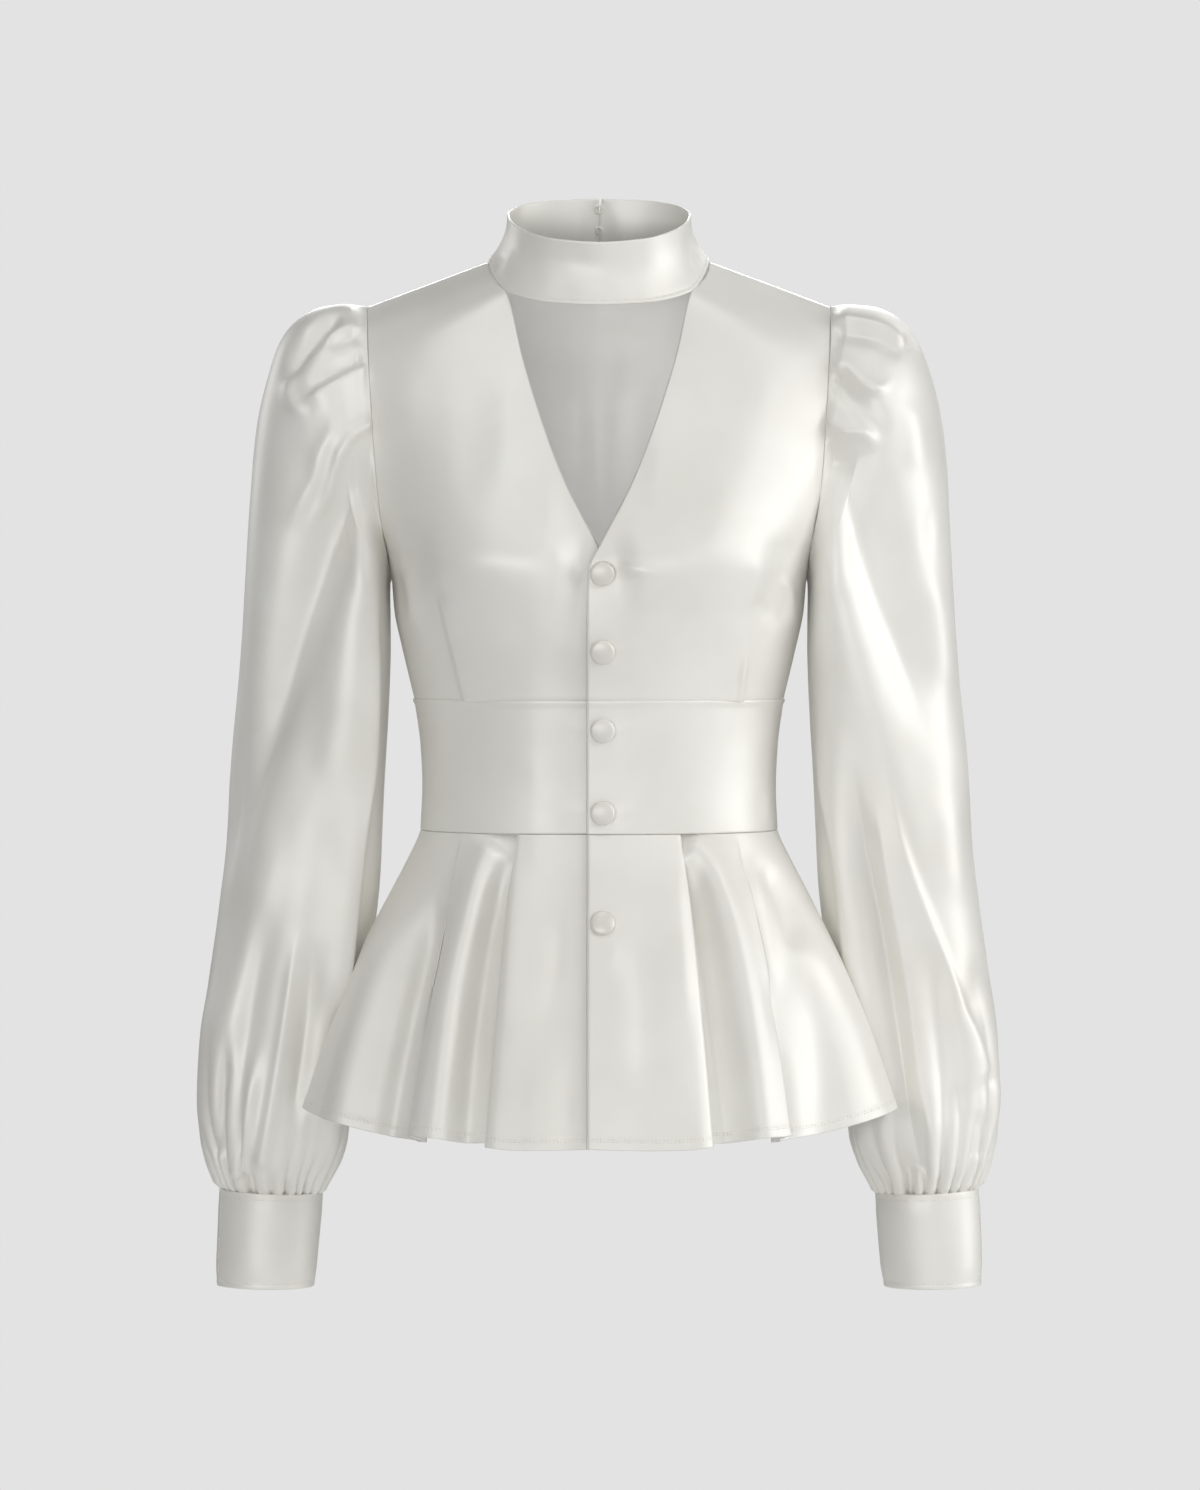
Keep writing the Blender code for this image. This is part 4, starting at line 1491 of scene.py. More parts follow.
@dataclass
class Collar:
    """The stand collar: a doubled band with a slit at the centre back."""

    wall: float = 1.7
    hollow: float = 3.6
    columns: int = 210
    rows: int = 26
    chart: Point = (330.0, 92.0)
    cut: Cut = Cut(0.345, 0.054, 0.0172)
    waves: tuple = ((0.22, 53, 18.0, 60.0),)
    seam_fade: float = 5.0
    table: tuple = (
        (0, (0, -62, -32.5), (0, -66, 7.6)),
        (0.17, (31, -56.8, -31), (31, -58.6, 10.4)),
        (0.36, (60.8, -39.4, -23), (52.6, -37, 18.4)),
        (0.48, (71.2, -17.4, -9), (60.4, -14, 26)),
        (0.57, (74, 1.6, -0.2), (61.6, 4, 31)),
        (0.7, (67.6, 30, 4.8), (54.6, 27, 37.6)),
        (0.85, (38, 54.2, 3.6), (30.6, 41.6, 42.4)),
        (1, (0.6, 61, 2), (0.6, 46, 43.7)),
    )

    def surface(self, u: np.ndarray, v: np.ndarray) -> np.ndarray:
        """Points of the band's middle, u from -1 to 1 and v from the upper edge down.

        Args:
            u: Places round from the closing slit by the front.
            v: Places down.

        Returns:
            A grid of points.
        """
        other = [(-u, (-a[0], *a[1:]), (-b[0], *b[1:])) for u, a, b in self.table[:0:-1]]
        row = spline_of((*other, *self.table))(u)
        low, high = row[None, :, 0:3], row[None, :, 3:6]
        grid = high + (low - high) * v[:, None, None]
        back = eased(0.93, 1.0, np.abs(u))[None, :]
        grid[..., 0] -= 0.45 * np.sign(u)[None, :] * back
        grid[..., 0] += 1.9 * eased(0.97, 1.0, u)[None, :] * eased(0.25, 0.0, v)[:, None]
        waist = np.sin(math.pi * v)[:, None] * (1 - back)
        way = grid * np.array([1.0, 1.0, 0.0])
        way /= np.linalg.norm(way, axis=-1, keepdims=True)
        return grid - way * (self.hollow * waist)[..., None]

    def creases(self) -> tuple[Crease, ...]:
        """Small creases where the band bends round the sides of the neck.

        Returns:
            Its creases.
        """
        return creases_of((
            (((60, 24), (64, 10), (69, -4)), 1, 1.6, 2.6, 1.6, (0.2, 0.3)),
            (((57.5, 20), (60, 8), (64, -8)), -0.9, 2.4, 2, 1.8, (0.3, 0.3)),
            (((63, 14), (68, 4), (73, -3)), -0.8, 1.8, 1.8, 1.8, (0.3, 0.3)),
            (((-62, 4), (-66, -2), (-71, -8)), -0.9, 2, 3, 1.8, (0.3, 0.2)),
            (((-57, 8), (-61, -4), (-65, -14)), 0.7, 2.6, 2.6),
            (((-30, -8), (4, -20), (34, -12)), 0.45, 5, 6),
            (((-48, 2), (-20, -4), (8, -6)), -0.35, 5, 5),
        ))

    def build(self) -> tuple[bpy.types.Object, ClothGrid]:
        """Makes and dresses the collar.

        Returns:
            The piece, and its outer face for the stitching.
        """
        u = np.linspace(-1.0, 1.0, self.columns + 1)
        grid = ClothGrid(self.surface(u, steps(self.rows, 0.04, 0.04, 3)))
        far, up = grid.distance(Edge.BOTTOM, Edge.TOP), grid.distance(Edge.BOTTOM)
        grid.lift(grid.relief(self.waves, self.creases()) * eased(0.0, self.seam_fade, far))
        line = groove(up, COLLAR_LINE, 0.3, 0.7)
        piece = banded(grid, self.wall, "collar_satin", self.chart, line)
        outer = ClothGrid(grid.points + grid.normals() * (self.wall / 2 + line)[..., None])
        return finish_piece(piece, SATIN, ("collar",)), outer


# ---- Sleeves and cuffs


def tube_points(row: np.ndarray, across: np.ndarray, ahead: np.ndarray) -> np.ndarray:
    """Points of a sleeve or cuff section.

    Args:
        row: Outer x and z, inner x and z, centre y and half depth, as the last axis.
        across: Places from -1 at the inner side to 1 at the outer side.
        ahead: Places from -1 at the back to 1 at the front.

    Returns:
        Points in own x, y and z.
    """
    x = (row[..., 0] + row[..., 2]) / 2 + (row[..., 0] - row[..., 2]) / 2 * across
    z = (row[..., 1] + row[..., 3]) / 2 + (row[..., 1] - row[..., 3]) / 2 * across
    y = row[..., 4] - row[..., 5] * ahead
    return np.stack(np.broadcast_arrays(x, y, z), axis=-1)


def hung_section(u: np.ndarray) -> tuple[np.ndarray, np.ndarray]:
    """Section of a hanging sleeve, flatter in front than an ellipse and even along its outline.

    Args:
        u: Places round from the outer side by the front.

    Returns:
        Places across and ahead, each from -1 to 1.
    """
    turn = np.linspace(0.0, 2 * math.pi, 1441)
    across, ahead = np.cos(turn), np.sin(turn)
    square = np.where(ahead > 0, np.where(across < 0, 2 / 3.1, 2 / 2.5), 2 / 2.2)
    across = np.sign(across) * np.abs(across) ** square
    ahead = np.sign(ahead) * np.abs(ahead) ** square
    way = np.concatenate(([0.0], np.cumsum(np.hypot(np.diff(across), np.diff(ahead)))))
    place = u * way[-1]
    return np.interp(place, way, across), np.interp(place, way, ahead)


@dataclass
class Sleeve:
    """A long sleeve with a pleated head that fills out above the cuff."""

    side: Side
    wall: float = 0.7
    columns: int = 200
    rows: tuple = ((0.0, 0.21, 88), (0.21, 0.84, 76), (0.84, 1.0, 60))
    seam_start: float = 0.15
    lean_to_front: float = 0.35
    gathers: int = 27
    gather_height: float = 8.0
    long_depth: float = 1.25
    seam_tuck: float = 2.6
    seam_share: float = 0.35
    tuck_place: Point = (0.986, 0.995)
    under_arm: Point = (0.82, 1.0)
    under_arm_end: Point = (0.25, 0.45)
    head_fade: float = 0.022
    cuff_fade: float = 0.97
    edge_radius: float = 1.5
    waves: tuple = ((0.5, 71, 60.0, 150.0), (0.1, 77, 14.0, 36.0))
    chart: Point = (400.0, 620.0)
    cut: Cut = Cut(0.42, 0.62, 0.205, "gathered")
    table: tuple = (
        (0.03, (169, -30.4), (142.2, -219.5), 4, 59),
        (0.07, (187, -32), (142.4, -228), 5, 65),
        (0.11, (203, -39.5), (142.2, -243), 6, 68),
        (0.155, (216, -55), (142.2, -262), 7, 67.5),
        (0.205, (225, -81), (142.8, -285), 8, 65.5),
        (0.26, (231.5, -113), (144, -312), 8, 63),
        (0.335, (237, -165), (146, -345), 8.5, 60),
        (0.415, (240.5, -220), (147.8, -382), 9.5, 57),
        (0.495, (244, -275), (149.5, -418), 11, 55),
        (0.575, (250, -340), (153, -452), 13, 54),
        (0.65, (253, -396), (158, -486), 15.5, 54),
        (0.715, (258.5, -440), (163, -518), 18, 54),
        (0.78, (266.5, -490), (168, -550), 20, 54.5),
        (0.84, (273, -532), (171, -578), 21, 55),
        (0.89, (274.5, -570), (173.5, -600), 20, 53),
        (0.93, (272, -598), (178, -614.5), 17, 48),
        (0.96, (267.5, -613), (184, -625.5), 14, 42),
        (0.985, (262, -626), (188, -632.5), 12, 35),
        (1, (258.9, -636.2), (190.1, -639.2), 11, 30.9),
    )

    def armhole(self) -> Spline:
        """Closed armhole seam, from the shoulder tip down the front and up the back.

        Returns:
            The seam, from 0 to 1 along it.
        """
        front = [row[2] for row in FrontBodice(self.side).table if row[0] <= 0.75]
        back = [row[-1] for row in BackBodice().table if row[0] <= 0.72]
        tip, low = (156.6, 0.0, -32.0), (140.5, 0.0, -215.0)
        line = np.array([tip, *front[1:-1], low, *back[::-1][1:-1], tip])
        way = way_along(line)
        return Spline(way / way[-1], line)

    def surface(self, u: np.ndarray, v: np.ndarray) -> np.ndarray:
        """Points of the sleeve without its folds.

        Args:
            u: Places round from the outer side by the front.
            v: Places from the armhole to the cuff.

        Returns:
            A grid of points in own x, y and z.
        """
        first = self.table[0][0]
        tube = spline_of(self.table)
        angle = 2 * math.pi * u[None, :]
        hung = (eased(0.04, 0.16, v) * (1 - eased(0.86, 0.98, v)))[:, None]
        across, ahead = hung_section(u)
        across = np.cos(angle) * (1 - hung) + across[None, :] * hung
        ahead = np.sin(angle) * (1 - hung) + ahead[None, :] * hung
        grid = tube_points(tube(np.maximum(v, first))[:, None, :], across, ahead)
        seam = self.armhole()(u)
        away = seam - np.array([149.5, 3.0, -122.0])
        away /= np.linalg.norm(away, axis=-1, keepdims=True)
        start = seam + np.array([self.seam_start, 0.0, 0.0]) + 0.2 * away
        share = np.clip(v / first, 0.0, 1.0)[:, None, None]
        return np.where(share < 1, start[None] + (grid - start[None]) * share, grid)

    def head_creases(self) -> tuple[Crease, ...]:
        """Pleats of the sleeve head on the front, each side its own.

        Returns:
            Its creases.
        """
        if self.side is Side.RIGHT:
            return creases_of((
                (((170, -34), (190, -54), (216, -90)), -6.5, 7, 4.5, 1.7, (0.25, 0.35)),
                (((162, -33), (184, -40), (206, -62)), 2.6, 8, 6),
                (((156, -46), (172, -49), (190, -58)), 2.6, 6, 2.4, 1.6, (0, 0.4)),
                (((158, -53), (172, -56), (184, -63)), -2, 3, 5, 1.8, (0, 0.4)),
                (((155, -73), (174, -83.5), (200, -99)), 4.2, 2.2, 9, 1.5, (0, 0.3)),
                (((157, -66), (176, -76), (196, -88)), -4, 5, 3.2, 1.8, (0.1, 0.35)),
                (((203, -76), (208.5, -88), (204, -100), (192, -102)), 2.2, 5, 4),
                (((153.5, -113), (165, -120), (172, -132), (183, -161), (201, -192)), 4.4, 5, 3.2, 1.6,
                 (0, 0.35)),
                (((163, -112), (175, -115), (184, -128), (191, -150), (212, -186)), 3, 6, 5, 1.8,
                 (0.3, 0.35)),
            ))
        return creases_of((
            (((155, -42), (175, -43.5), (192, -48), (208, -61)), 3.6, 8, 2.2, 1.6, (0, 0.2)),
            (((156, -50), (175, -51.5), (191, -56), (205, -69)), -3.4, 3, 6, 1.7, (0, 0.25)),
            (((200, -42), (208, -52), (209, -64)), -1.6, 4, 3),
            (((152, -72), (163, -75), (178, -87), (187, -90), (196, -80)), 4.4, 8, 3.4, 1.6, (0, 0.3)),
            (((155, -80), (168, -94), (181, -108), (194, -130)), -4.8, 8, 6.5, 2, (0.1, 0.45)),
            (((151, -108), (163, -117.5), (178, -120), (188, -131)), 3.6, 7, 3.4, 1.6, (0, 0.35)),
            (((206, -92), (212, -118), (214, -150)), 2, 8, 8),
        ))

    def long_creases(self) -> tuple[Crease, ...]:
        """Long folds of the sleeve on the front, each side its own.

        Returns:
            Its creases.
        """
        if self.side is Side.RIGHT:
            return creases_of((
                (((156, -118), (167, -161), (185, -213), (200, -251), (217, -300), (235, -350),
                 (247, -393), (254, -432)), -12.5, 22, 16, 2, (0.2, 0.42)),
                (((154, -160), (163, -217), (170, -276), (178, -345), (188, -420)), 5, 16, 15, 2,
                 (0.2, 0.4)),
                (((152, -190), (152.5, -240), (154, -300), (156, -345), (160.5, -380), (166, -433),
                 (172, -486), (177, -520)), 6.8, 16, 2.8, 1.6, (0.35, 0.1)),
                (((194, -310), (200, -413), (214, -501), (224, -580)), 2.8, 15, 14),
                (((214, -380), (229, -444), (248, -505), (258, -560)), 2.2, 14, 11),
                (((221, -430), (236, -505), (245, -565)), -2.8, 8, 10),
                (((202, -448), (212, -516), (222, -576), (229, -618)), 3.4, 4, 4.5, 1.7, (0.3, 0.05)),
                (((192, -455), (199, -526), (208, -590)), -5, 6, 8, 1.8, (0.3, 0.2)),
                (((240, -340), (246, -438), (259, -526)), -2.4, 12, 12),
                (((230, -530), (238, -576), (243, -622)), 3.2, 5, 5, 1.8, (0.4, 0.05)),
                (((250, -520), (257, -570), (259, -610)), -3.4, 4, 5, 1.8, (0.4, 0.1)),
            ))
        return creases_of((
            (((154, -118), (161, -145), (172, -180), (185, -218), (203, -261), (220, -304), (234, -345)),
             -9.5, 25, 14, 2, (0.1, 0.35)),
            (((150, -130), (152, -160), (157, -200), (167, -250), (181, -295), (197, -350), (210, -404),
             (221, -460)), 4.6, 15, 16, 2, (0.15, 0.35)),
            (((188, -330), (207, -406), (229, -462), (250, -516), (268, -558)), 2.8, 3.4, 15, 1.6,
             (0.35, 0.05)),
            (((168, -330), (178, -388), (191, -451), (201, -514), (208, -564), (219, -628)), -6.8, 4.5, 12,
             1.8, (0.35, 0.05)),
            (((184, -350), (194, -420), (207, -486), (216, -550), (226, -610)), 3.4, 11, 3.5, 1.6,
             (0.3, 0.1)),
            (((147.5, -290), (151, -350), (161, -408), (170, -486), (184, -541), (199, -596)), 4, 12, 3,
             1.5, (0.25, 0.15)),
            (((221, -168), (222, -186), (221, -204)), -1, 4, 5),
            (((220, -206), (232, -250), (241, -300)), 3, 8, 9),
            (((234, -360), (240, -400), (244, -440)), 2.2, 10, 12),
            (((262, -468), (256, -496), (251, -520)), -2.4, 7, 9),
            (((270, -554), (263, -568), (254, -586)), 1.4, 7, 9, 1.8),
            (((262, -574), (262, -590), (258, -612)), -2.2, 6, 7, 2, (0.35, 0.2)),
            (((222, -450), (232, -520), (240, -590)), -3, 8, 10),
        ))

    def back_creases(self) -> tuple[Crease, ...]:
        """Folds of the sleeve on its back, of the kind that the front shows.

        Returns:
            Its creases.
        """
        rows = (
            (((157, -60), (176, -70), (202, -92)), 3.8, 2.4, 8, 0),
            (((158, -54), (176, -62), (198, -80)), -3.6, 5, 3.2, 0.1),
            (((156, -96), (172, -112), (194, -150)), 3.6, 6, 2.8, 0),
            (((156, -104), (168, -124), (186, -160)), -4.2, 3, 7, 0.1),
            (((154, -150), (170, -210), (196, -280)), -6, 13, 8, 0.2),
            (((152, -190), (166, -260), (176, -340)), 3.6, 9, 11, 0.3),
            (((204, -150), (214, -230), (222, -310)), 2.6, 12, 12, 0.3),
            (((190, -300), (206, -400), (222, -500), (236, -580)), 3.8, 11, 10, 0.3),
            (((168, -360), (184, -450), (200, -540), (212, -610)), -4.8, 8, 9, 0.3),
            (((234, -360), (244, -450), (256, -540)), -2.8, 10, 10, 0.3),
            (((160, -360), (170, -440), (182, -520)), 3, 8, 5, 0.3),
        )
        out, down = (0.0, 0.0) if self.side is Side.RIGHT else (2.0, 8.0)
        return creases_of(
            [
                (tuple((x + out, z - down) for x, z in path), *sizes, 1.8, (rise, 0.35))
                for path, *sizes, rise in rows
            ],
            Face.BACK,
        )

    def side_folds(self, u: np.ndarray, v: np.ndarray) -> np.ndarray:
        """Long soft folds of the outer and inner sides, mostly towards the back.

        Args:
            u: Places round.
            v: Places down.

        Returns:
            Lifts in mm.
        """
        rows = (
            (-0.055, 0.09, 0.36, 0.026, 3.0, 0.04),
            (-0.110, 0.16, 0.60, 0.024, -3.6, 0.10),
            (-0.030, 0.30, 0.66, 0.026, -2.2, -0.06),
            (-0.085, 0.42, 0.86, 0.024, 3.4, 0.02),
            (0.000, 0.46, 0.80, 0.030, 1.2, 0.02),
            (-0.045, 0.62, 0.97, 0.018, -3.0, 0.06),
            (0.570, 0.34, 0.72, 0.030, -2.6, 0.05),
            (0.600, 0.55, 0.95, 0.030, 2.8, -0.04),
        )
        shift = 0.008 * self.side.value
        total = np.zeros((len(v), len(u)))
        for centre, first, last, width, height, lean in rows:
            along = np.clip((v - first - shift) / (last - first), 0.0, 1.0)[:, None]
            place = centre + shift + lean * along
            away = (u[None, :] - place + 0.5) % 1.0 - 0.5
            total += height * np.sin(math.pi * along) ** 0.8 * np.exp(-((away / width) ** 2))
        return total

    def gathered(self, u: np.ndarray, v: np.ndarray) -> np.ndarray:
        """Gathers that run up from the cuff, each with its own place, length and depth.

        Args:
            u: Places round.
            v: Places down.

        Returns:
            Lifts in mm.
        """
        draw = np.random.default_rng(61 + self.side.value)
        total = np.zeros((len(v), len(u)))
        above = (1.0 - v)[:, None]
        for k in range(self.gathers):
            centre = (k + draw.uniform(-0.28, 0.28)) / self.gathers
            length = draw.uniform(0.09, 0.30)
            width = draw.uniform(0.13, 0.22) / self.gathers
            fall = self.gather_height * draw.uniform(0.5, 1.1)
            lean = draw.uniform(-0.25, 0.25)
            up = np.clip(above / length, 0.0, 1.0)
            away = (u[None, :] - centre - lean * above * 0.2 + 0.5) % 1.0 - 0.5
            shape = np.exp(-np.abs(away / (width * (1 + 2.4 * up))) ** 1.6)
            total -= fall * shape * (1 - up)
        middle = np.mean(total, axis=1, keepdims=True)
        end = eased(*self.tuck_place, v)[:, None]
        return (total - middle) * (1 - self.seam_share * end) - self.seam_tuck * end

    def build(self) -> bpy.types.Object:
        """Makes and dresses the sleeve.

        Returns:
            The piece.
        """
        even = np.linspace(0.0, 1.0, self.columns + 1)
        u = even - self.lean_to_front / (2 * math.pi) * np.sin(2 * math.pi * (even - 0.25))
        u = u - u[0]
        v = np.unique(np.concatenate([np.linspace(*stretch) for stretch in self.rows]))
        points = self.surface(u, v)
        grid = ClothGrid(points, True, points.mean(axis=1, keepdims=True))
        x, z = grid.points[..., 0], grid.points[..., 2]
        facing = grid.normals()[..., 1]
        height = np.zeros(x.shape)
        for wave, seed, low, high in self.waves:
            height += wave * uneven(x, z, seed + self.side.value, low, high) * np.abs(facing)
        for crease in self.head_creases() + self.back_creases():
            height = height + crease.heights(x, z, facing)
        depth = self.long_depth if self.side is Side.RIGHT else 1.0
        for crease in self.long_creases():
            height = height + depth * crease.heights(x, z, facing)
        inner = np.maximum(-np.cos(2 * math.pi * u), 0.0)[None, :]
        clear = eased(*self.under_arm, inner) * (1 - eased(*self.under_arm_end, v))[:, None]
        height = height * (1 - clear) + self.side_folds(u, v)
        ends = eased(0.0, self.head_fade, v)[:, None] * (1 - eased(self.cuff_fade, 1.0, v))[:, None]
        grid.lift(height * ends)
        grid.lift(self.gathered(u, v))
        grid.roll(self.edge_radius, Edge.BOTTOM)
        grid.points[:, -1] = grid.points[:, 0]
        grid.mirror(self.side)
        node = f"sleeve_{self.side.word}"
        return cloth_piece(grid, node, self.chart, self.wall, SATIN)


@dataclass
class Cuff:
    """A deep plain cuff: a doubled strip whose first end laps over its last."""

    side: Side
    wall: float = 1.7
    chart: Point = (230.0, 130.0)
    cut: Cut = Cut(0.225, 0.066, 0.0147)
    waves: tuple = ((0.5, 83, 24.0, 70.0),)
    fullness: float = 0.5
    edge_fade: Point = (1.0, 14.0)
    columns: int = 170
    rows: int = 26
    start: float = 20.0
    lap: float = 24.0
    tuck: float = 2.4
    tuck_turn: Point = (344.0, 374.0)
    top: tuple = ((259.5, -632.6), (189.5, -635.4), 11.2, 31.7)
    bottom: tuple = ((261.4, -697.0), (195.4, -698.2), 9.5, 29.0)

    def surface(self, u: np.ndarray, v: np.ndarray) -> np.ndarray:
        """Points of the strip's middle in own x, u along the strip and v down.

        Args:
            u: Places along the strip.
            v: Places down.

        Returns:
            A grid of points.
        """
        degrees = self.start + u * (360.0 + self.lap)
        high, low = np.array(flat_row(self.top)), np.array(flat_row(self.bottom))
        row = np.repeat(high + (low - high) * v[:, None, None], len(u), axis=1)
        tuck = self.tuck * eased(*self.tuck_turn, degrees)
        row[..., 0] -= tuck
        row[..., 2] += tuck
        row[..., 5] -= tuck
        angle = np.radians(degrees)[None, :]
        return tube_points(row, np.cos(angle), np.sin(angle))

    def build(self) -> tuple[bpy.types.Object, ClothGrid]:
        """Makes and dresses the cuff.

        Returns:
            The piece, and its outer face for the stitching.
        """
        u = np.linspace(0.0, 1.0, self.columns + 1)
        points = self.surface(u, steps(self.rows, 0.04, 0.04, 3))
        grid = ClothGrid(points, False, points.mean(axis=1, keepdims=True))
        down, up = grid.distance(Edge.TOP), grid.distance(Edge.BOTTOM)
        height = grid.relief(self.waves, shift=self.side.value)
        grid.lift((height + self.fullness) * eased(*self.edge_fade, np.minimum(up, down)))
        way = grid.distance(Edge.FIRST_COLUMN)
        lines = groove(down, CUFF_LINES[Edge.TOP], 0.35, 0.7)
        lines = lines + groove(up, CUFF_LINES[Edge.BOTTOM], 0.25, 0.7)
        lines = lines + groove(way, CUFF_LINES[Edge.FIRST_COLUMN], 0.25, 0.7)
        pucker = 0.12 * uneven(way, 0 * way, 89, 4.0, 12.0) * np.exp(-((down - 3.0) / 4.0) ** 2)
        grid.mirror(self.side)
        node = f"cuff_{self.side.word}"
        piece = banded(grid, self.wall, f"{node}_satin", self.chart, lines + pucker)
        outer = ClothGrid(grid.points + grid.normals() * (self.wall / 2 + lines)[..., None])
        outer.sign = grid.sign
        return finish_piece(piece, SATIN, (node,)), outer


# ---- Buttons, thread loops and stitching


def spin_round(
    maker: bmesh.types.BMesh, geometry: list, centre: Sequence, axis: Sequence, turns: int, merge_at: float
) -> None:
    """Spins a line or ring all the way round and joins the ends.

    Args:
        maker: The mesh.
        geometry: The points and edges to spin.
        centre: A point on the axis.
        axis: The axis.
        turns: How many steps.
        merge_at: Points closer than this become one.
    """
    bmesh.ops.spin(
        maker, geom=geometry, cent=centre, axis=axis, angle=2 * math.pi, steps=turns,
        use_merge=True, use_duplicate=False, dvec=(0, 0, 0),
    )
    bmesh.ops.remove_doubles(maker, verts=maker.verts, dist=merge_at)


@dataclass
class CoveredButton:
    """A domed button covered in the blouse's satin, leaning as the cloth under it does.

    Leans are degrees back from upright, from the top button down.
    """

    number: int
    radius: float = 8.3
    height: float = 4.5
    turns: int = 56
    sunk: float = 0.0002
    leans: tuple[float, ...] = (8.0, 12.0, 6.0, 3.5, -19.0)
    profile: Pairs = (
        (0.0, 0.0), (0.60, 0.0), (0.84, 0.04), (0.95, 0.14), (1.0, 0.30), (0.995, 0.46),
        (0.955, 0.62), (0.89, 0.735), (0.80, 0.80), (0.74, 0.825), (0.66, 0.868),
        (0.52, 0.925), (0.36, 0.968), (0.18, 0.992), (0.0, 1.0),
    )

    def build(self) -> bpy.types.Object:
        """Turns, places and dresses the button.

        Returns:
            The piece.
        """
        node = f"button_{self.number}"
        low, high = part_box(node)
        middle = (low + high) / 2
        maker = bmesh.new()
        line = [
            maker.verts.new((r * self.radius * MM, 0.0, h * self.height * MM))
            for r, h in self.profile
        ]
        edges = [maker.edges.new(pair) for pair in zip(line, line[1:])]
        spin_round(maker, line + edges, (0, 0, 0), (0, 0, 1), self.turns, MERGE)
        bmesh.ops.recalc_face_normals(maker, faces=maker.faces)
        turn = Matrix.Rotation(math.radians(90.0 + self.leans[self.number - 1]), 4, "X")
        turn.translation = Vector((middle.x, high.y - self.sunk, middle.z))
        bmesh.ops.transform(maker, matrix=turn, verts=maker.verts)
        piece = object_of(f"{node}_satin", maker)
        box_uv(piece)
        return finish_piece(piece, BUTTON_SATIN, (node,))


def box_uv(piece: bpy.types.Object) -> None:
    """Gives a small piece a UV map in metres, seen from the front.

    Args:
        piece: The piece to map.
    """
    mesh = piece.data
    chart = mesh.uv_layers.new(name="cloth")
    place = np.empty(len(mesh.vertices) * 3, np.float32)
    mesh.vertices.foreach_get("co", place)
    corner = np.empty(len(mesh.loops), np.int32)
    mesh.loops.foreach_get("vertex_index", corner)
    chart.data.foreach_set("uv", place.reshape(-1, 3)[corner][:, [0, 2]].ravel())


@dataclass
class ThreadLoop:
    """A worked thread loop that spans the collar's slit on its inner side."""

    word: str
    half_width: float
    wire: float = 0.5
    ply_rise: float = 0.16
    plies: int = 9
    sides: int = 14
    steps: int = 72

    def build(self) -> bpy.types.Object:
        """Sweeps, twists and dresses the loop.

        Returns:
            The piece.
        """
        node = f"collar_fastener_{self.word}"
        low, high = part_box(node)
        middle = (low + high) / 2
        across = Vector((1.0, 0.0, 0.0))
        foot, head = Collar().table[-1][1:]
        up = (Vector(head) - Vector(foot)).normalized()
        inward = across.cross(up).normalized()
        if inward.y > 0:
            inward = -inward
        maker = bmesh.new()
        bmesh.ops.create_circle(maker, segments=self.sides, radius=self.wire * MM)
        turn = Vector((0, 0, 1)).rotation_difference(up).to_matrix().to_4x4()
        bmesh.ops.transform(maker, matrix=turn, verts=maker.verts)
        start = middle + across * (self.half_width * MM)
        bmesh.ops.translate(maker, vec=start, verts=maker.verts)
        spin_round(maker, maker.verts[:] + maker.edges[:], middle, inward, self.steps, 1e-7)
        side = inward.cross(across).normalized()
        for vertex in maker.verts:
            arm = vertex.co - middle
            flat = arm - inward * arm.dot(inward)
            ring = flat.normalized() * self.half_width * MM
            turned = math.atan2(flat.dot(side), flat.dot(across))
            off = arm - ring
            around = math.atan2(off.dot(inward), off.dot(flat.normalized()))
            twist = self.ply_rise * math.cos(2 * around - self.plies * turned)
            vertex.co = middle + ring + off * (1 + twist)
        bmesh.ops.recalc_face_normals(maker, faces=maker.faces)
        return finish_piece(object_of(f"{node}_thread", maker), THREAD, (node,))


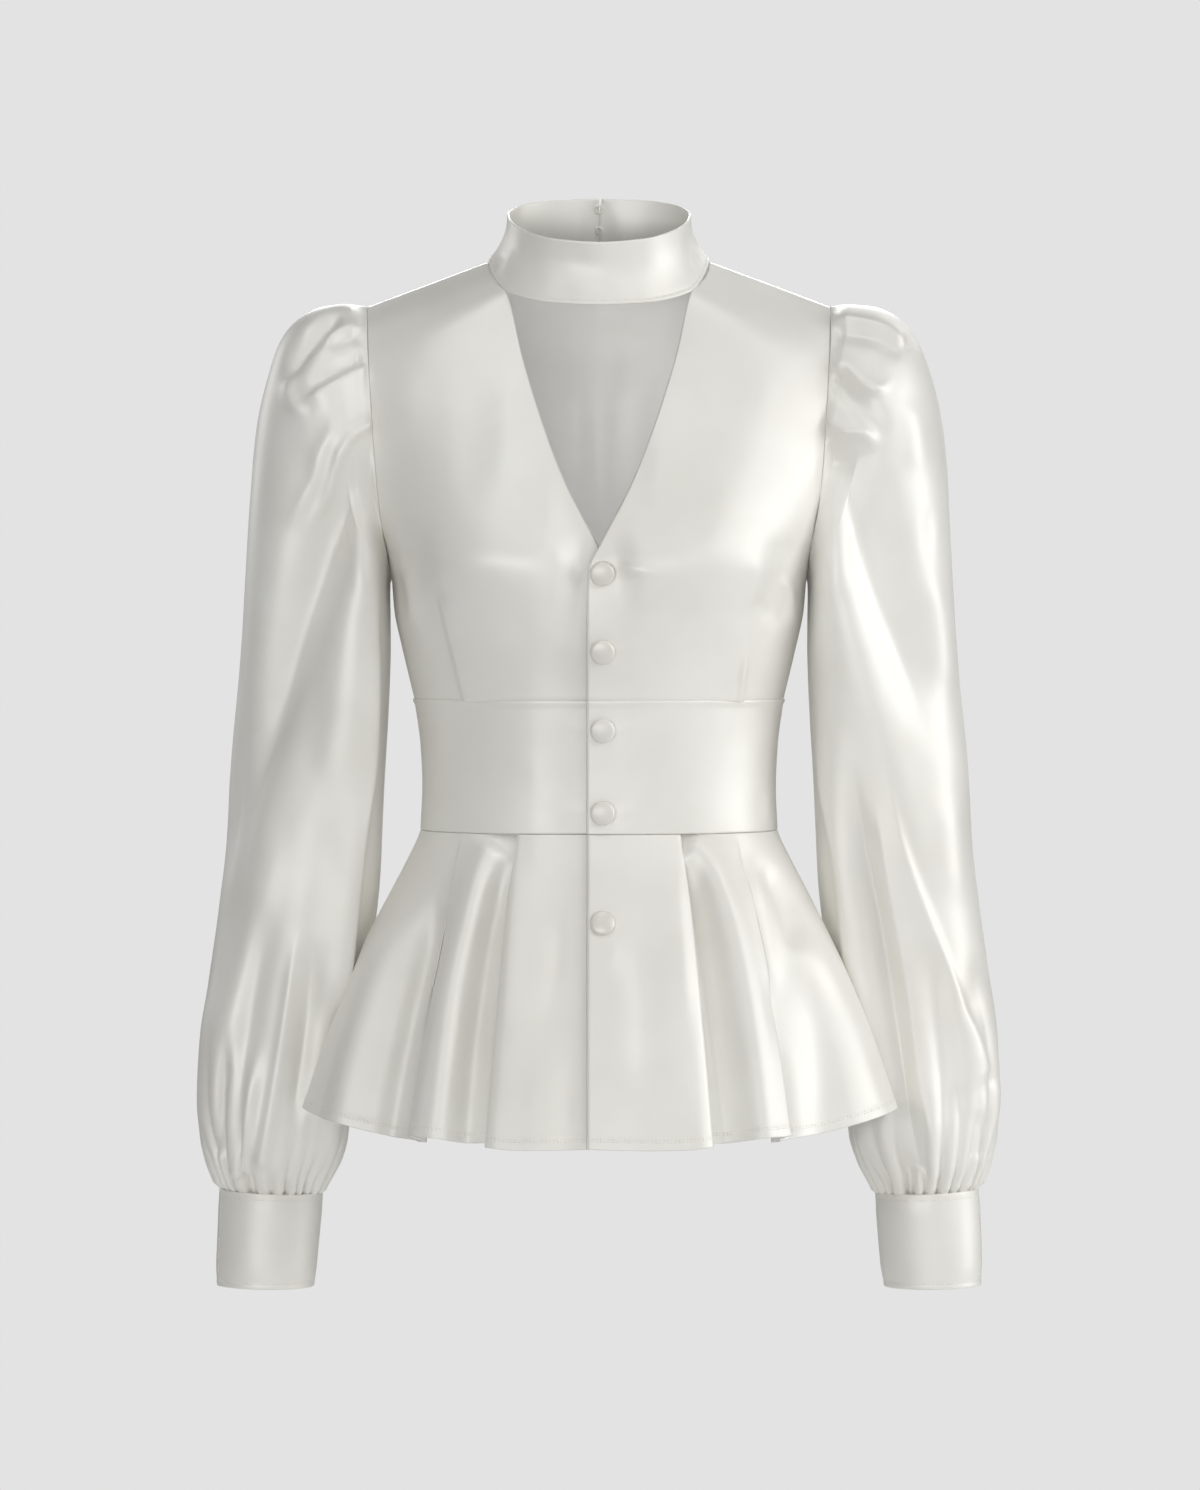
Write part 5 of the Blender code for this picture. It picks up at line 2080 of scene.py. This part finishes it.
@dataclass(frozen=True)
class StitchRow:
    """A row of machine stitches that lies on a cloth surface."""

    pitch: float = 2.6
    length: float = 1.9
    width: float = 0.62
    rise: float = 0.5

    def lay(self, maker: bmesh.types.BMesh, line: np.ndarray, out: np.ndarray, off: float) -> None:
        """Adds the stitches along a line.

        Args:
            maker: The mesh that takes them.
            line: Points that the row follows, in mm.
            out: The cloth's outward normal at each point.
            off: How far off the points the stitches lie, in mm.
        """
        way = way_along(line)

        def at(place: float, rows: np.ndarray) -> np.ndarray:
            """The row of numbers at a place along the line."""
            return np.array([np.interp(place, way, rows[:, k]) for k in range(3)])

        size = (self.length / 2, self.width / 2, self.rise / 2)
        for place in np.arange(self.pitch, way[-1] - self.pitch, self.pitch):
            start, end = (at(place + d, line) for d in (-self.length / 2, self.length / 2))
            along = Vector(end - start).normalized()
            upward = Vector(at(place, out)).normalized()
            across = upward.cross(along).normalized()
            upward = along.cross(across)
            matrix = Matrix.Identity(4)
            for k, (axis, half) in enumerate(zip((along, across, upward), size)):
                for row in range(3):
                    matrix[row][k] = axis[row] * half * MM
            matrix.translation = (Vector((start + end) / 2) + upward * off) * MM
            bmesh.ops.create_icosphere(maker, subdivisions=1, radius=1.0, matrix=matrix)

    def follow(
        self, maker: bmesh.types.BMesh, grid: ClothGrid, edge: Edge, off: float, lift: float
    ) -> None:
        """Adds stitches at a fixed distance from an edge of a grid.

        Args:
            maker: The mesh that takes the stitches.
            grid: The cloth's grid.
            edge: The edge that the row follows.
            off: Distance of the row from the edge, in mm.
            lift: Distance of the stitches from the grid's points, in mm.
        """
        points, out, way = grid.points, grid.normals(), grid.distance(edge)
        if edge in (Edge.TOP, Edge.BOTTOM):
            points, out, way = (numbers.swapaxes(0, 1) for numbers in (points, out, way))
        line, normal = [], []
        for place, normals, far in zip(points, out, way):
            order = np.argsort(far)
            line.append([np.interp(off, far[order], place[order, k]) for k in range(3)])
            normal.append([np.interp(off, far[order], normals[order, k]) for k in range(3)])
        self.lay(maker, np.array(line), np.array(normal), lift)


@dataclass
class Stitching:
    """All topstitching: peplum hem, collar and cuffs."""

    hem: StitchRow = StitchRow()
    collar: StitchRow = StitchRow(1.85, 1.3, 0.62, 0.55)
    cuff: StitchRow = StitchRow(2.4, 1.7)
    hem_lift: float = 0.38
    collar_lift: float = 0.05
    cuff_lift: float = 0.06

    def sew(
        self, name: str, row: StitchRow, grid: ClothGrid, lines: Sequence[tuple[Edge, float]], lift: float
    ) -> bpy.types.Object:
        """Lays the stitched lines of one piece and dresses them.

        Args:
            name: Name of the cloth piece.
            row: The kind of stitch.
            grid: The cloth's grid.
            lines: Edge that each line follows, and how far from it.
            lift: Distance of the stitches from the grid's points, in mm.

        Returns:
            The piece.
        """
        maker = bmesh.new()
        for edge, off in lines:
            row.follow(maker, grid, edge, off, lift)
        return finish_piece(object_of(f"{name}_stitches", maker), THREAD)

    def build(self, hems: Grids, collar: ClothGrid, cuffs: Grids) -> None:
        """Lays and dresses every row.

        Args:
            hems: Grids of the peplum pieces by name.
            collar: Outer face of the collar.
            cuffs: Outer faces of the cuffs by name.
        """
        for name, grid in hems.items():
            lines = [(Edge.BOTTOM, off) for off in HEM_LINES]
            self.sew(name, self.hem, grid, lines, self.hem_lift)
        lines = [(Edge.BOTTOM, COLLAR_LINE)]
        self.sew("collar", self.collar, collar, lines, self.collar_lift)
        for name, grid in cuffs.items():
            self.sew(name, self.cuff, grid, list(CUFF_LINES.items()), self.cuff_lift)


# ---- Studio


def place_in_view(
    name: str, data: bpy.types.ID, place: Sequence[float], aim: Sequence[float]
) -> bpy.types.Object:
    """Puts a light or camera in the scene.

    Args:
        name: Name of the object.
        data: The light or camera.
        place: Where it stands.
        aim: The point that it looks at.

    Returns:
        The new object.
    """
    found = bpy.data.objects.new(name, data)
    found.location = place
    way = Vector(aim) - found.location
    found.rotation_euler = way.to_track_quat("-Z", "Y").to_euler()
    bpy.context.scene.collection.objects.link(found)
    return found


@dataclass(frozen=True)
class SoftLight:
    """One large soft light that looks at the blouse."""

    name: str
    place: tuple[float, float, float]
    size: Point
    watts: float
    aim: tuple[float, float, float] = (0.0, 0.0, -0.33)

    def build(self) -> bpy.types.Object:
        """Puts the light in the scene.

        Returns:
            The light.
        """
        lamp = bpy.data.lights.new(self.name, "AREA")
        lamp.shape = "RECTANGLE"
        lamp.size, lamp.size_y = self.size
        lamp.energy = self.watts
        return place_in_view(self.name, lamp, self.place, self.aim)


@dataclass
class Studio:
    """Camera, pale surroundings, floor and soft lights."""

    target_z: float = -0.3292
    distance: float = 4.0
    sensor: float = 36.0
    elevation: float = 1.5
    photo_size: Point = (1200.0, 1490.0)
    mm_per_pixel: float = 0.68
    backdrop: float = 0.768
    surround: float = 0.16
    floor_z: float = -1.42
    floor_radius: float = 2.6
    lights: tuple[SoftLight, ...] = (
        SoftLight("key", (2.35, -1.9, 1.1), (1.8, 1.8), 25.0),
        SoftLight("side", (3.1, -0.6, 0.0), (1.6, 1.8), 38.0),
        SoftLight("front", (-1.0, -4.1, -0.4), (3.2, 0.7), 54.0),
        SoftLight("top", (-0.2, -1.2, 2.65), (1.6, 0.9), 15.0),
        SoftLight("high", (-0.6, -2.4, 1.7), (1.6, 1.2), 9.0),
        SoftLight("fill", (-2.3, 2.3, 0.6), (1.3, 1.4), 16.0),
        SoftLight("left", (-3.0, -0.8, 0.5), (1.2, 1.2), 1.6),
        SoftLight("behind", (0.0, 3.0, 1.2), (1.6, 1.0), 48.0),
        SoftLight("rim", (1.3, 2.3, 1.4), (1.6, 1.6), 12.0),
    )

    def camera(self) -> bpy.types.Object:
        """Camera at the photograph's viewing angle and framing.

        Returns:
            The camera.
        """
        lens = bpy.data.cameras.new("camera")
        width, height = self.photo_size
        lens.sensor_fit = "VERTICAL"
        lens.sensor_height = self.sensor
        lens.sensor_width = self.sensor * width / height
        lens.lens = self.sensor * self.distance / (height * self.mm_per_pixel * MM)
        lens.shift_x = 1.0 / height
        lens.dof.use_dof = False
        tilt = math.radians(self.elevation)
        target = Vector((0.0, 0.0, self.target_z))
        place = target + self.distance * Vector((0.0, -math.cos(tilt), math.sin(tilt)))
        camera = place_in_view("camera", lens, place, target)
        bpy.context.scene.camera = camera
        return camera

    def world(self) -> None:
        """Even pale surroundings, brighter where the camera looks straight at them."""
        world = bpy.data.worlds.new("studio")
        world.use_nodes = True
        tree = world.node_tree
        glow = tree.nodes["Background"]
        set_inputs(glow, {"Color": (1.0, 0.995, 0.985, 1.0), "Strength": self.surround})
        plain = add_node(tree, "Background", {"Color": (1.0, 1.0, 1.0, 1.0), "Strength": self.backdrop})
        path = add_node(tree, "LightPath", {})
        mix = add_node(tree, "MixShader", {"Fac": path.outputs["Is Camera Ray"]})
        for number, shown in enumerate((glow, plain), 1):
            tree.links.new(shown.outputs["Background"], mix.inputs[number])
        set_inputs(tree.nodes["World Output"], {"Surface": mix.outputs["Shader"]})
        bpy.context.scene.world = world

    def floor(self) -> bpy.types.Object:
        """Plain pale round floor.

        Returns:
            The floor.
        """
        maker = bmesh.new()
        bmesh.ops.create_circle(
            maker, cap_ends=True, segments=96, radius=self.floor_radius,
            matrix=Matrix.Translation((0.0, 0.0, self.floor_z)),
        )
        floor = object_of("floor", maker, smooth=False)
        material = bpy.data.materials.new("pale_floor")
        material.use_nodes = True
        shader = material.node_tree.nodes["Principled BSDF"]
        set_inputs(shader, {"Base Color": (0.80, 0.80, 0.80, 1.0), "Roughness": 0.9})
        floor.data.materials.append(material)
        return floor

    def build(self) -> None:
        """Sets up the whole studio."""
        self.camera()
        self.world()
        self.floor()
        for light in self.lights:
            light.build()
        view = bpy.context.scene.view_settings
        view.view_transform = "Standard"
        view.look = "None"


def main() -> None:
    """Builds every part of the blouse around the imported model."""
    logging.basicConfig(level=logging.INFO, format="%(message)s")
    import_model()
    Studio().build()
    for side in Side:
        FrontBodice(side).build()
    BackBodice().build()
    band = MidriffBand()
    for side in Side:
        band.build_front(side)
    band.build_back()
    peplum = Peplum()
    hems = {}
    for side in Side:
        hems[f"peplum_front_{side.word}"] = peplum.build_front(side)[1]
    hems["peplum_back"] = peplum.build_back()[1]
    collar = Collar().build()[1]
    cuffs = {}
    for side in Side:
        Sleeve(side).build()
        cuffs[f"cuff_{side.word}"] = Cuff(side).build()[1]
    for number in range(1, len(BUTTON_Z) + 1):
        CoveredButton(number).build()
    ThreadLoop("upper", 2.6).build()
    ThreadLoop("lower", 2.2).build()
    Stitching().build(hems, collar, cuffs)


if __name__ == "__main__":
    main()
